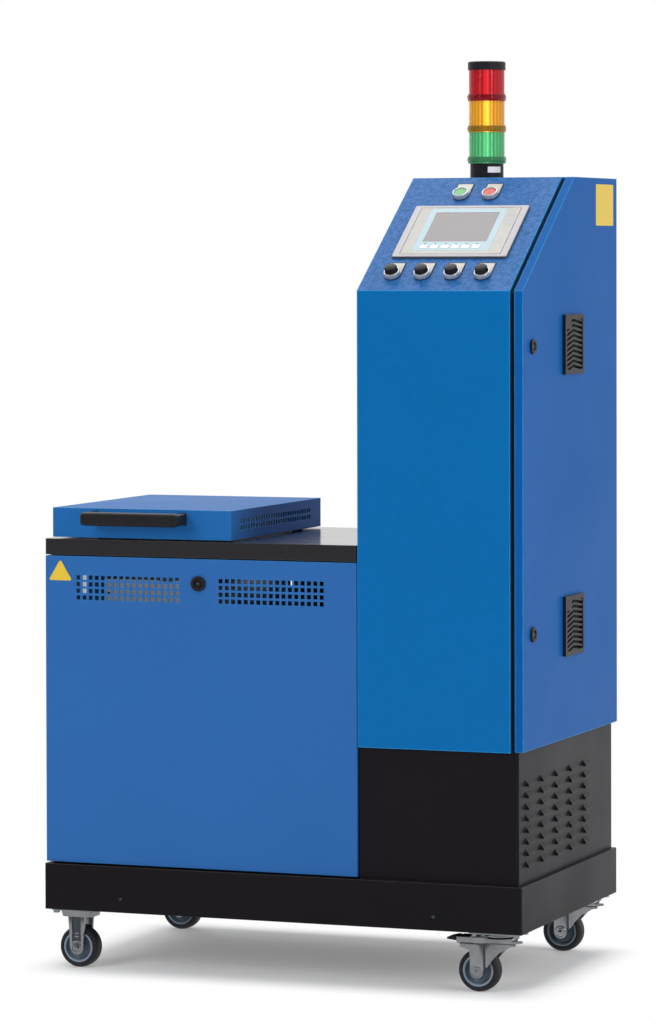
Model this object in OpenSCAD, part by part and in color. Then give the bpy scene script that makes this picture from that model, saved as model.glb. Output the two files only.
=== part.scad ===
// Hot melt glue unit: a tank side and an electrical cabinet on one base with casters.
// Unit frame: X to the right from the middle of the base, Y back from the cabinet's
// front face, Z up from the floor. at_origin() then centres the whole on X and Y.

/* [Base] */
// Width of the base, left to right
tray_w = 912; // [880:1:960]
// Depth of the base, front to back
tray_d = 554; // [540:1:600]
// Height of the base's skirt
tray_h = 83; // [60:1:110]
// How far the base stands ahead of the cabinet
tray_reach = 7; // [3:0.5:15]
// Sheet of the base
tray_sheet = 3; // [2:0.5:4]
// Plates in the base's corners that carry the casters
gusset_t = 4; // [3:0.5:6]
// Outer bend radius of folded sheet
bend_r = 3; // [1:0.5:5]

/* [Casters] */
// Height from the floor to the base
caster_h = 108; // [100:1:125]
// Radius of the wheels
wheel_r = 37.5; // [32:0.5:40]
// Width of the tyres
tyre_w = 30; // [22:1:32]
// Radius of the rims, where the tyre begins
rim_r = 28; // [24:0.5:30]
// Length of the caster's top plate
plate_l = 94; // [88:1:104]
// Width of the caster's top plate
plate_w = 68; // [60:1:76]
// Thickness of the caster's top plate
plate_t = 3; // [2:0.5:5]
// Hole spacing along the plate
plate_hole_l = 76; // [72:1:80]
// Hole spacing across the plate
plate_hole_w = 48; // [45:1:52]
// Radius of the caster bolts
bolt_r = 4; // [3:0.5:5]
// Distance from the swivel axis to the axle
trail = 36; // [28:1:40]
// Distance of the caster axes from the base's left and right edges
caster_in = 54; // [50:1:70]
// Distance of the caster axes from the base's front and back edges
caster_set = 40.5; // [38:0.5:60]
// Sheet of the forks
fork_t = 2.5; // [2:0.5:4]
// Radius of the axles
axle_r = 4; // [3:0.5:5]

/* [Tank housing] */
// Width of the tank housing
housing_w = 603; // [590:1:640]
// Depth of the tank housing
housing_d = 463; // [450:1:480]
// Height of the front panel with its gaps
housing_h = 560.5; // [540:0.5:600]
// Thickness of the slab on top
slab_t = 29; // [24:0.5:40]
// Depth of the front panel's flanges
panel_t = 28; // [22:1:32]
// Sheet of the panels
panel_sheet = 2; // [1:0.25:3]
// Gap under the front panel
panel_low_gap = 3.4; // [2:0.2:5]
// Gap over the front panel
panel_top_gap = 2; // [1:0.2:4]
// Side of the square holes in the grilles
hole_side = 8; // [5:0.5:9]
// Pitch of the square holes
hole_pitch = 12.1; // [11:0.1:14]
// Columns of holes in each front grille
grille_cols = 17; // [8:1:18]
// Rows of holes in each front grille
grille_rows = 4; // [2:1:6]
// Distance from the panel's middle to each grille's middle
grille_off = 139; // [125:1:145]
// Distance from the panel's top to the middle of the grilles
grille_drop = 56.5; // [50:0.5:90]
// Distance from the panel's top to the lock
lock_drop = 44; // [40:1:90]
// Side of the frame's square bars
post = 25; // [20:1:30]

/* [Lid] */
// Width of the tank lid
lid_w = 350; // [340:1:360]
// Depth of the tank lid
lid_d = 444; // [436:1:446]
// Height of the tank lid
lid_h = 53; // [45:1:70]
// Distance of the lid from the slab's left edge
lid_in = 13; // [8:1:30]
// Distance of the lid from the slab's rear edge
lid_back = 15; // [13:1:24]
// Gap between the lid and the slab
lid_gap = 3; // [2:0.5:5]
// Sheet of the lid
lid_sheet = 2; // [1:0.25:3]
// Columns of vent holes in the lid's side
lid_vent_cols = 29; // [10:1:30]
// Rows of vent holes in the lid's side
lid_vent_rows = 2; // [1:1:2]
// Length of the lid handle
handle_l = 190; // [150:1:220]
// Height of the lid handle's section
handle_h = 23; // [16:1:28]
// How far the lid handle stands out
handle_reach = 50; // [40:1:55]
// Shift of the handle to the left of the lid's middle
handle_shift = 4; // [0:1:8]

/* [Tank and pump] */
// Outer width of the melt tank
tank_w = 217; // [200:1:225]
// Outer depth of the melt tank
tank_d = 237; // [210:1:245]
// Distance of the tank's jacket from the hose manifold
tank_gap = 21.5; // [15:0.5:30]
// Wall of the melt tank
tank_wall = 10; // [6:1:14]
// Insulation and jacket around the tank
jacket_t = 16; // [10:1:18]
// Height of the frame's middle rails over the base
rail_lift = 134; // [120:1:150]
// Length of the feet under the tank
tank_foot = 20; // [15:1:30]
// Teeth of each pump gear
pump_teeth = 12; // [12:1:14]
// Module of the pump gears
pump_module = 3; // [2.5:0.1:3.2]
// Width of the pump gears
gear_w = 28; // [20:1:32]
// Radius of the pump shafts
shaft_r = 7; // [5:0.5:8]
// Radius of the gearmotor
motor_r = 48; // [40:1:50]
// Length of the motor
motor_l = 96; // [80:1:100]
// Radius of a hose nipple
nipple_r = 7.1; // [5:0.1:8]
// Number of hose nipples
nipples = 4; // [2:1:4]
// Pitch of the hose nipples
nipple_pitch = 30; // [28:1:34]

/* [Plinth] */
// Height of the plinth under the cabinet
plinth_h = 233; // [220:1:260]
// How far the plinth stands out to the right of the cabinet shell
plinth_out = 14; // [10:1:18]
// Sheet of the plinth
plinth_sheet = 2; // [1.5:0.25:3]
// Columns of louvres
louvre_cols = 5; // [2:1:5]
// Rows of louvres
louvre_rows = 8; // [2:1:8]
// Length of a louvre
louvre_l = 32; // [20:1:40]
// Height of a louvre
louvre_h = 12; // [8:0.5:14]
// How far a louvre stands out
louvre_out = 7; // [4:0.5:8]
// Pitch of the louvre columns
louvre_pitch_y = 81.5; // [70:0.5:90]
// Pitch of the louvre rows
louvre_pitch_z = 20.3; // [18:0.1:24]
// Distance of the first louvre column from the cabinet's front face
louvre_first_y = 57; // [50:1:70]
// Height of the louvres' lowest row over the base
louvre_first_z = 35; // [25:1:50]

/* [Cabinet] */
// Gap between the tank housing and the cabinet
cab_gap = 2; // [1:0.5:4]
// Width of the cabinet shell
cab_w = 284; // [280:1:300]
// Depth of the cabinet
cab_d = 546; // [530:1:560]
// Height of the cabinet
cab_h = 1008; // [980:1:1040]
// Sheet of the cabinet
cab_sheet = 2; // [1.5:0.25:3]
// Depth that the sloping console covers
slope_run = 293; // [280:1:310]
// Height that the sloping console covers
slope_rise = 202; // [190:1:215]
// Width of the flange around the side opening
cab_flange = 25; // [20:1:30]

/* [Side door] */
// Recess between the cabinet shell and the door
door_gap = 8.4; // [6:0.2:10]
// Thickness of the door
door_t = 15.6; // [13:0.2:20]
// Gap between the plinth and the door
door_clear = 2; // [1:0.5:4]
// Sheet of the door
door_sheet = 2; // [1.5:0.25:3]
// Side of the square filter frames
filter_side = 107; // [100:1:115]
// Side of the cut-outs behind the filters
filter_cut = 92; // [88:1:94]
// How far the filter frames stand out
filter_out = 6.3; // [4:0.1:9]
// Distance of the filters' middle from the cabinet's front face
filter_y = 275; // [250:1:290]
// Height of the lower filter's middle over the plinth
filter_low = 204; // [180:1:230]
// Distance between the two filters
filter_rise = 504; // [470:1:520]
// Slats in each filter frame
slats = 10; // [6:1:11]
// Distance of the door locks from the cabinet's front face
lock_y = 51; // [46:1:60]
// Radius of the locks' collars
lock_r = 13.5; // [12.5:0.5:16]
// Radius of the lock barrels
barrel_r = 11; // [9:0.5:11.5]

/* [Console] */
// Width of the display's frame
hmi_w = 214; // [200:1:230]
// Height of the display's frame along the slope
hmi_h = 159; // [150:1:165]
// How far the display's frame stands out
hmi_t = 5; // [3:0.5:8]
// Distance of the display from the cabinet's left side
hmi_x = 36.5; // [28:0.5:44]
// Distance of the display up the slope
hmi_s = 99; // [92:1:104]
// Width of the screen
screen_w = 119; // [110:1:125]
// Height of the screen
screen_h = 91; // [84:1:96]
// Distance of the screen from the frame's left side
screen_x = 45.5; // [42:0.5:50]
// Distance of the screen from the frame's lower edge
screen_s = 45.5; // [42:0.5:50]
// Pitch of the control positions
knob_pitch = 56; // [50:1:58]
// Distance of the first knob from the cabinet's left side
knob_x = 53; // [45:1:58]
// Distance of the knobs up the slope
knob_s = 46.5; // [40:0.5:52]
// Distance of the push buttons up the slope
button_s = 297; // [285:1:310]
// Radius of the knobs
knob_r = 11.75; // [10:0.25:12]
// Height of the knobs
knob_h = 19.5; // [14:0.5:24]
// Radius of the bezel rings
ring_r = 14.5; // [13.5:0.5:15]
// Height of the bezel rings
ring_h = 8; // [7:0.5:10]
// Travel of the push buttons
button_travel = 4; // [2:0.5:4]

/* [Signal tower] */
// Distance of the tower from the cabinet's left side
tower_x = 113; // [90:1:140]
// Distance of the tower from the cabinet's front face
tower_y = 376; // [350:1:420]
// Radius of the tower's foot
foot_r = 30.5; // [28:0.5:32]
// Height of the tower's foot
foot_h = 27; // [20:1:40]
// Radius of a lens
lens_r = 32.5; // [30:0.5:34]
// Height of a lens
lens_h = 44; // [30:1:60]
// Radius of the collars between the lenses
collar_r = 34.5; // [33:0.5:36]
// Height of the collars between the lenses
collar_h = 12.9; // [8:0.1:18]
// Height of the cap
cap_h = 15.5; // [10:0.5:24]

/* [Hidden] */
$fn = 48;
fine = 96;
// Overrun of a cut past the face that it cuts
cut = 1;
// Gap between pieces that move past each other
play = 0.3;
// Radial clearance of a shaft in its bore
run = 0.06;
// Hair gap of a paint film or a weld between sheets
film = 0.02;

// Anchors of the unit frame
x_left = -tray_w / 2;
x_right = tray_w / 2;
base_y0 = -tray_reach;
base_y1 = tray_d - tray_reach;
deck_z = caster_h + tray_h;
housing_x1 = x_left + housing_w;
cab_x0 = housing_x1 + cab_gap;
cab_x1 = cab_x0 + cab_w;
cab_z0 = deck_z + plinth_h;
cab_z1 = cab_z0 + cab_h;
fold_z = cab_z1 - slope_rise;
slope_a = atan2(slope_rise, slope_run);
door_x0 = cab_x1 + door_gap;
door_x1 = door_x0 + door_t;
slab_z0 = deck_z + housing_h;
slab_z1 = slab_z0 + slab_t;
lid_x0 = x_left + lid_in;
lid_x1 = lid_x0 + lid_w;
lid_y1 = housing_d - lid_back;
lid_y0 = lid_y1 - lid_d;
lid_z0 = slab_z1 + lid_gap;
lid_z1 = lid_z0 + lid_h;
plinth_y0 = 5;
plinth_back_in = 1;
plinth_y1 = cab_d - plinth_back_in;
plinth_x1 = cab_x1 + plinth_out;

// Door hinge: axis behind the door's rear edge
hinge_r = 5;
hinge_pin_r = 3;
hinge_in = 4.6;
hinge_off = 6;
hinge_x = door_x0 + hinge_in;
hinge_y = cab_d + hinge_off;
hinge_half = 25;

// Outer box, which puts the origin under the middle of the whole
box_x1 = door_x1 + filter_out;
box_y0 = lid_y0 - handle_reach;
box_y1 = hinge_y + hinge_r;
module at_origin() {
  translate([-(x_left + box_x1) / 2, -(box_y0 + box_y1) / 2, 0]) children();
}

// A box between two corners
module block(a, b) {
  translate(a) cube(b - a);
}

// Cylinders along X, Y and Z, from the low end
module rod_x(r, a, len) {
  translate(a) rotate([0, 90, 0]) cylinder(r = r, h = len);
}
module rod_y(r, a, len) {
  translate(a) rotate([-90, 0, 0]) cylinder(r = r, h = len);
}
module rod_z(r, a, len) {
  translate(a) cylinder(r = r, h = len);
}

// A rectangle with round corners, and a block of it
module round_rect(w, d, r) {
  translate([r, 0]) square([w - 2 * r, d]);
  translate([0, r]) square([w, d - 2 * r]);
  for (x = [r, w - r], y = [r, d - r]) translate([x, y]) circle(r = r, $fn = 24);
}
module round_block(a, b, r) {
  translate(a) linear_extrude(b.z - a.z) round_rect(b.x - a.x, b.y - a.y, r);
}

// Outlines drawn in Y and Z, extruded along X, and in X and Z, extruded back along Y
module along_x(x0, x1) {
  translate([x0, 0, 0]) rotate([90, 0, 90]) linear_extrude(x1 - x0) children();
}
module along_y(y0, y1) {
  translate([0, y1, 0]) rotate([90, 0, 0]) linear_extrude(y1 - y0) children();
}

// Places on the sloping console: s is measured up the slope, the local Z stands off it
module on_slope(x, s) {
  translate([cab_x0 + x, s * cos(slope_a), fold_z + s * sin(slope_a)])
    rotate([slope_a, 0, 0]) translate([0, 0, film]) children();
}

// The cabinet's side outline, set in by w, from height z0
function cab_side(w, z0 = cab_z0) = [
  [w, z0 + w], [cab_d - w, z0 + w], [cab_d - w, cab_z1 - w],
  [slope_run - w * (1 - 1 / cos(slope_a)) / tan(slope_a), cab_z1 - w],
  [w, fold_z + w * tan(slope_a) - w / cos(slope_a)]];

// Casters
caster_xl = x_left + caster_in;
caster_xr = x_right - caster_in;
caster_yf = base_y0 + caster_set;
caster_yr = base_y1 - caster_set;
fork_gap = 2;
fork_in = tyre_w / 2 + fork_gap;
fork_w = fork_in + fork_t;
race_r = 26;
race_h = 8;
king_r = 7;
crown_t = 3;
crown_r = 29;
crown_z1 = caster_h - plate_t - race_h - play;
crown_z0 = crown_z1 - crown_t;
axle_head_r = 7;
axle_head_t = 4;
hub_r = 10;
web_t = 8;
rim_t = 3;
bolt_head_r = 6.5;
bolt_head_t = 5;
// Outline of a swivel fork's cheek: shares of the trail in X and of the crown's height in Z
swivel_cheek_shares = [[-2.05, 1], [-2.05, 0.89], [-1.42, 0.85], [-1.32, 0.41], [-0.68, 0.4],
  [-0.5, 0.62], [0, 0.82], [0.75, 0.92], [0.8, 1]];
// Outline of a fixed fork's cheek: shares of the plate's half length and of its height
fixed_cheek_shares = [[-0.62, 1], [-0.56, 0.8], [-0.24, 0.4], [0.24, 0.4], [0.56, 0.8], [0.62, 1]];

module corner_plates() {
  for (x = [x_left + tray_sheet, x_right - 2 * caster_in],
      y = [base_y0 + tray_sheet, base_y1 - 2 * caster_set])
    block([x, y, caster_h], [x + 2 * caster_in - tray_sheet, y + 2 * caster_set - tray_sheet,
      caster_h + gusset_t]);
}
module base_tray() color("#262428") at_origin() difference() {
  union() {
    difference() {
      round_block([x_left, base_y0, caster_h], [x_right, base_y1, deck_z], bend_r);
      block([x_left + tray_sheet, base_y0 + tray_sheet, caster_h - cut],
        [x_right - tray_sheet, base_y1 - tray_sheet, deck_z - tray_sheet]);
    }
    corner_plates();
  }
  for (x = [caster_xl, caster_xr], y = [caster_yf, caster_yr], i = [-1, 1], j = [-1, 1])
    rod_z(bolt_r + run, [x + i * plate_hole_l / 2, y + j * plate_hole_w / 2, caster_h - cut],
      gusset_t + 2 * cut);
}

module caster_bolts() color("silver") at_origin()
  for (x = [caster_xl, caster_xr], y = [caster_yf, caster_yr], i = [-1, 1], j = [-1, 1])
    translate([x + i * plate_hole_l / 2, y + j * plate_hole_w / 2, 0]) {
      rod_z(bolt_r, [0, 0, caster_h - plate_t - bolt_head_t],
        plate_t + gusset_t + 2 * bolt_head_t);
      translate([0, 0, caster_h - plate_t - bolt_head_t])
        cylinder(r = bolt_head_r, h = bolt_head_t, $fn = 6);
      translate([0, 0, caster_h + gusset_t])
        cylinder(r = bolt_head_r, h = bolt_head_t, $fn = 6);
    }

module caster_plate() {
  difference() {
    round_block([-plate_l / 2, -plate_w / 2, caster_h - plate_t],
      [plate_l / 2, plate_w / 2, caster_h], bend_r);
    for (i = [-1, 1], j = [-1, 1])
      rod_z(bolt_r + run, [i * plate_hole_l / 2, j * plate_hole_w / 2, caster_h - plate_t - cut],
        plate_t + 2 * cut);
  }
}

module axle() {
  rod_y(axle_r, [0, -fork_w, wheel_r], 2 * fork_w);
  for (y = [-fork_w - axle_head_t, fork_w])
    translate([0, y, wheel_r]) rotate([-90, 0, 0])
      cylinder(r = axle_head_r, h = axle_head_t, $fn = 6);
}

module fixed_forks() color("silver") at_origin()
  for (y = [caster_yf, caster_yr]) translate([caster_xl, y, 0]) {
    top = caster_h - plate_t;
    caster_plate();
    for (side = [-fork_w, fork_in]) along_y(side, side + fork_t) {
      polygon([for (p = fixed_cheek_shares) [p.x * plate_l / 2, p.y * top]]);
      translate([0, wheel_r]) circle(r = 3 * axle_r);
    }
    axle();
  }

module swivel_plates() color("silver") at_origin()
  for (y = [caster_yf, caster_yr]) translate([caster_xr, y, 0]) {
    caster_plate();
    translate([0, 0, caster_h - plate_t - race_h]) rotate_extrude() polygon([[0, 0],
      [race_r * 0.86, 0], [race_r, race_h * 0.3], [race_r, race_h * 0.55],
      [race_r * 0.9, race_h], [0, race_h]]);
    rod_z(king_r, [0, 0, crown_z0 - play - axle_head_t], caster_h - plate_t - crown_z0);
    rod_z(king_r + 2 * bolt_r, [0, 0, crown_z0 - play - axle_head_t], axle_head_t);
  }

module swivel_fork(y) color("silver") at_origin() translate([caster_xr, y, 0]) {
  difference() {
    union() {
      rod_z(crown_r, [0, 0, crown_z0], crown_t);
      block([-2.05 * trail, -fork_w, crown_z0], [0.8 * trail, fork_w, crown_z1]);
    }
    rod_z(king_r + run, [0, 0, crown_z0 - cut], crown_t + 2 * cut);
    block([-2.05 * trail - cut, -fork_in, crown_z0 - cut], [-1.3 * trail, fork_in, crown_z1 + cut]);
  }
  for (side = [-fork_w, fork_in]) along_y(side, side + fork_t) {
    polygon([for (p = swivel_cheek_shares) [p.x * trail, p.y * crown_z1]]);
    translate([-trail, wheel_r]) circle(r = 3 * axle_r);
  }
  translate([-trail, 0, 0]) axle();
}
module swivel_fork_front() swivel_fork(caster_yf);
module swivel_fork_rear() swivel_fork(caster_yr);

// Brake pedal on a pin between the fork's two noses
pedal_w = 2 * fork_in - 2 * play;
pedal_x = -1.85 * trail;
pedal_z = 0.945 * crown_z1;
pedal_pin_r = 3;
pedal_t = 3;
pedal_l = 26;
module brake_pedal(y) color("#202024") at_origin() translate([caster_xr, y, 0]) {
  rod_y(pedal_pin_r, [pedal_x, -pedal_w / 2, pedal_z], pedal_w);
  along_y(-pedal_w / 2, pedal_w / 2) polygon([[pedal_x, pedal_z + pedal_pin_r],
    [pedal_x - pedal_l / 2, pedal_z + 2 * pedal_t], [pedal_x - pedal_l, pedal_z + pedal_t],
    [pedal_x - pedal_l, pedal_z], [pedal_x, pedal_z - pedal_pin_r]]);
}
module brake_pedal_front() brake_pedal(caster_yf);
module brake_pedal_rear() brake_pedal(caster_yr);

// Wheel with a round tyre on a webbed rim
module wheel(x, y) at_origin() translate([x, y, wheel_r]) rotate([90, 0, 0]) {
  color("#3d4a5c") rotate_extrude($fn = 64) difference() {
    translate([axle_r + run, -tyre_w / 2]) square([rim_r - axle_r - run, tyre_w]);
    for (side = [-1, 1]) translate([hub_r, side > 0 ? web_t / 2 : -tyre_w / 2 - cut])
      square([rim_r - rim_t - hub_r, tyre_w / 2 - web_t / 2 + cut]);
  }
  color("#1e1e24") rotate_extrude($fn = 64) intersection() {
    translate([rim_r, -tyre_w / 2]) square([wheel_r - rim_r, tyre_w]);
    union() {
      translate([0, -tyre_w / 2]) square([rim_r + 2 * rim_t / 3, tyre_w]);
      for (side = [-1, 1]) translate([wheel_r - tyre_w / 3, side * tyre_w / 6])
        circle(r = tyre_w / 3, $fn = 20);
      translate([0, -tyre_w / 6]) square([wheel_r, tyre_w / 3]);
    }
  }
}
module wheel_left_front() wheel(caster_xl, caster_yf);
module wheel_left_rear() wheel(caster_xl, caster_yr);
module wheel_right_front() wheel(caster_xr - trail, caster_yf);
module wheel_right_rear() wheel(caster_xr - trail, caster_yr);

// Plinth: box sheets, with one louvred sheet on the right
plinth_flange = 15;
gland_x = cab_x0 + cab_w * 0.75;
gland_z = deck_z + plinth_h * 0.25;
gland_bore_r = 6.5;
gland_body_r = 14;
gland_out = 12;
module plinth_box() color("#242226") at_origin() difference() {
  round_block([cab_x0, plinth_y0, deck_z], [plinth_x1, plinth_y1, cab_z0], bend_r);
  block([cab_x0 + plinth_sheet, plinth_y0 + plinth_sheet, deck_z - cut],
    [plinth_x1 - 2 * plinth_sheet, plinth_y1 - plinth_sheet, cab_z0 - plinth_sheet]);
  block([plinth_x1 - plinth_sheet, plinth_y0 + bend_r, deck_z - cut],
    [plinth_x1 + cut, plinth_y1 - bend_r, cab_z0 - bend_r]);
  block([plinth_x1 - 3 * plinth_sheet, plinth_y0 + plinth_flange, deck_z - cut],
    [plinth_x1 + cut, plinth_y1 - plinth_flange, cab_z0 - plinth_flange]);
  block([cab_x0 + cab_flange, plinth_y0 + 2 * cab_flange, cab_z0 - plinth_sheet - cut],
    [cab_x1 - cab_flange, plinth_y1 - 2 * cab_flange, cab_z0 + cut]);
  rod_y(gland_bore_r + plinth_sheet + run, [gland_x, plinth_y1 - plinth_sheet - cut, gland_z],
    plinth_sheet + 2 * cut);
}

module plinth_louvre_panel() color("#2a282c") at_origin() {
  x0 = plinth_x1 - plinth_sheet;
  along_x(x0, plinth_x1) difference() {
    translate([plinth_y0 + bend_r, deck_z])
      square([plinth_y1 - plinth_y0 - 2 * bend_r, plinth_h - bend_r]);
    for (i = [0:louvre_cols - 1], j = [0:louvre_rows - 1])
      translate([louvre_first_y + i * louvre_pitch_y - louvre_l / 2 + plinth_sheet,
        deck_z + louvre_first_z + j * louvre_pitch_z - louvre_h / 2])
        square([louvre_l - 2 * plinth_sheet, louvre_h * 0.7]);
  }
  for (i = [0:louvre_cols - 1], j = [0:louvre_rows - 1])
    translate([plinth_x1, louvre_first_y + i * louvre_pitch_y,
      deck_z + louvre_first_z + (j - 0.5) * louvre_pitch_z + (louvre_pitch_z - louvre_h) / 2])
      louvre();
}
// One pressed louvre: a wedge that is open below
module louvre() {
  sheet = plinth_sheet / 2;
  difference() {
    along_y(-louvre_l / 2, louvre_l / 2)
      polygon([[0, 0], [louvre_out, 0], [louvre_out, louvre_h / 5], [0, louvre_h]]);
    along_y(-louvre_l / 2 + sheet, louvre_l / 2 - sheet)
      polygon([[-cut, -cut], [louvre_out - sheet, -cut], [louvre_out - sheet, louvre_h / 5],
        [0, louvre_h - 2 * sheet], [-cut, louvre_h - 2 * sheet]]);
  }
}

// Mains transformer on the base inside the plinth
core_l = 190;
core_h = 150;
core_w = 60;
limb = 38;
coil_t = 18;
transformer_x = cab_x0 + cab_w / 2;
module transformer() color("#6b6157") at_origin()
  translate([transformer_x, cab_d / 2, deck_z]) {
    window = (core_l - 3 * limb) / 2;
    difference() {
      block([-core_w / 2, -core_l / 2, 0], [core_w / 2, core_l / 2, core_h]);
      for (side = [-1, 1])
        translate([0, side * (limb + window) / 2, core_h / 2])
          cube([core_w + 2 * cut, window, core_h - 2 * limb], center = true);
    }
    for (y = [-1, 0, 1]) translate([0, y * (limb + window), core_h / 2]) difference() {
      cube([core_w + 2 * coil_t, limb + window - play, core_h - 2 * limb - play], center = true);
      cube([core_w, limb, core_h], center = true);
      for (side = [-1, 1]) translate([0, side * limb / 2, 0])
        cube([core_w, cut, core_h], center = true);
    }
  }

module cable_gland() color("#b8b8b0") at_origin() difference() {
  union() {
    translate([gland_x, plinth_y1, gland_z]) rotate([-90, 0, 0])
      cylinder(r = gland_body_r, h = gland_out / 2, $fn = 6);
    rod_y(gland_body_r * 0.8, [gland_x, plinth_y1, gland_z], gland_out);
    rod_y(gland_bore_r + plinth_sheet, [gland_x, plinth_y1 - gland_out, gland_z], gland_out);
    translate([gland_x, plinth_y1 - plinth_sheet - gland_out / 2, gland_z]) rotate([-90, 0, 0])
      cylinder(r = gland_body_r, h = gland_out / 2, $fn = 6);
  }
  rod_y(gland_bore_r, [gland_x, plinth_y1 - gland_out - cut, gland_z], 2 * (gland_out + cut));
}

// Cabinet shell: flat sheets with a flange ring round the open right side
hmi_body_in = 12;
hmi_depth = 40;
neck_r = 10.9;
switch_drop = 150;
switch_z = cab_z1 - switch_drop;
switch_x = cab_w / 2;
module cabinet_shell() color("#1c66ad") at_origin() {
  cabinet_walls();
  along_x(cab_x1 - cab_sheet, cab_x1) difference() {
    polygon(cab_side(cab_sheet + film));
    polygon(cab_side(cab_flange));
  }
}
module cabinet_walls() difference() {
  along_x(cab_x0, cab_x1) polygon(cab_side(0));
  along_x(cab_x0 + cab_sheet, cab_x1 + cut) polygon(cab_side(cab_sheet));
  seams();
  block([cab_x0 + cab_flange, plinth_y0 + 2 * cab_flange, cab_z0 - cut],
    [cab_x1 - cab_flange, plinth_y1 - 2 * cab_flange, cab_z0 + cab_sheet + cut]);
  on_slope(hmi_x + hmi_body_in, hmi_s + hmi_body_in)
    translate([0, 0, -cab_sheet - cut])
      cube([hmi_w - 2 * hmi_body_in, hmi_h - 2 * hmi_body_in, cab_sheet + 2 * cut]);
  for (p = control_places) on_slope(p.x, p.y)
    translate([0, 0, -cab_sheet - cut]) cylinder(r = neck_r + run, h = cab_sheet + 2 * cut);
  rod_z(foot_r / 2, [cab_x0 + tower_x, tower_y, cab_z1 - cab_sheet - cut], cab_sheet + 2 * cut);
  rod_y(neck_r, [cab_x0 + switch_x, cab_d - cab_sheet - cut, switch_z], cab_sheet + 2 * cut);
}

// Welded seams where the cabinet's flat sheets meet
module seams() {
  x0 = cab_x0 + cab_sheet;
  x1 = cab_x1 + cut;
  fold = cab_side(cab_sheet)[4];
  crest = cab_side(cab_sheet)[3];
  block([x0, -cut, cab_z0 - cut], [x0 + film, cab_d + cut, cab_z1 + cut]);
  block([x0, cab_sheet, cab_z0 - cut], [x1, cab_sheet + film, cab_z0 + cab_sheet + cut]);
  block([x0, cab_d - cab_sheet - film, cab_z0 - cut], [x1, cab_d - cab_sheet, cab_z1 + cut]);
  block([x0, -cut, fold.y], [x1, cab_sheet + cut, fold.y + film]);
  block([x0, crest.x, crest.y - cut], [x1, crest.x + film, cab_z1 + cut]);
}

// Places of the six controls on the slope: four knobs, then start and stop
control_places = concat([for (i = [0:3]) [knob_x + i * knob_pitch, knob_s]],
  [for (i = [1, 2]) [knob_x + i * knob_pitch, button_s]]);

// Mounting plate with its rails and wiring ducts on the cabinet's left wall
plate_gap = 12;
mount_t = 2.5;
mount_x1 = cab_x0 + cab_sheet + plate_gap + mount_t;
mount_y0 = 40;
mount_y1 = cab_d - mount_y0;
mount_up = 50;
mount_drop = 20;
mount_z0 = cab_z0 + mount_up;
mount_z1 = fold_z - mount_drop;
rail_h = 35;
rail_t = 7.5;
rail_lip = 1.5;
duct_w = 30;
duct_t = 40;
rail_zs = [for (share = [0.14, 0.42]) mount_z0 + (mount_z1 - mount_z0) * share];
duct_zs = [for (share = [0.03, 0.28, 0.56, 0.94]) mount_z0 + (mount_z1 - mount_z0) * share];
module mounting_plate() at_origin() {
  color("#c2c4c4") {
    block([mount_x1 - mount_t, mount_y0, mount_z0], [mount_x1, mount_y1, mount_z1]);
    for (y = [mount_y0 + duct_w, mount_y1 - duct_w], z = [mount_z0 + duct_w, mount_z1 - duct_w])
      rod_x(bolt_r, [cab_x0 + cab_sheet, y, z], plate_gap);
    for (z = rail_zs) along_y(mount_y0 + duct_w, mount_y1 - duct_w) translate([mount_x1, z])
      polygon([[0, -rail_h / 2 + rail_t], [rail_t - rail_lip, -rail_h / 2 + rail_t],
        [rail_t - rail_lip, -rail_h / 2], [rail_t, -rail_h / 2],
        [rail_t, -rail_h / 2 + rail_t + mount_t], [mount_t, -rail_h / 2 + rail_t + mount_t],
        [mount_t, rail_h / 2 - rail_t - mount_t], [rail_t, rail_h / 2 - rail_t - mount_t],
        [rail_t, rail_h / 2], [rail_t - rail_lip, rail_h / 2],
        [rail_t - rail_lip, rail_h / 2 - rail_t], [0, rail_h / 2 - rail_t]]);
  }
  color("#8c9093") for (z = duct_zs) difference() {
    block([mount_x1, mount_y0, z - duct_w / 2], [mount_x1 + duct_t, mount_y1, z + duct_w / 2]);
    block([mount_x1 + mount_t, mount_y0 - cut, z - duct_w / 2 + mount_t],
      [mount_x1 + duct_t - mount_t, mount_y1 + cut, z + duct_w / 2 - mount_t]);
  }
}

// Devices on the mounting plate
inverter_w = 110;
inverter_h = 210;
inverter_t = 150;
inverter_z = duct_zs[2] + duct_w;
module drive_inverter() color("#55595e") at_origin() difference() {
  block([mount_x1, mount_y0 + duct_w, inverter_z],
    [mount_x1 + inverter_t, mount_y0 + duct_w + inverter_w, inverter_z + inverter_h]);
  for (i = [1:6]) block([mount_x1 + inverter_t * 0.2, mount_y0 + duct_w - cut,
      inverter_z + i * inverter_h / 7 - mount_t],
    [mount_x1 + inverter_t * 0.8, mount_y0 + duct_w + inverter_w * 0.1,
      inverter_z + i * inverter_h / 7 + mount_t]);
}
controller_l = 180;
controller_h = 110;
controller_t = 75;
module controller() color("#d0d0cb") at_origin() {
  y0 = mount_y1 - duct_w - controller_l;
  block([mount_x1, y0, inverter_z], [mount_x1 + controller_t, y0 + controller_l,
    inverter_z + controller_h]);
  for (i = [0:4]) block([mount_x1 + controller_t, y0 + (i + 0.15) * controller_l / 5,
      inverter_z + controller_h * 0.1],
    [mount_x1 + controller_t + 2 * mount_t, y0 + (i + 0.85) * controller_l / 5,
      inverter_z + controller_h * 0.9]);
}
breaker_w = 18;
contactor_w = 45;
device_h = 85;
device_t = 70;
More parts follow.
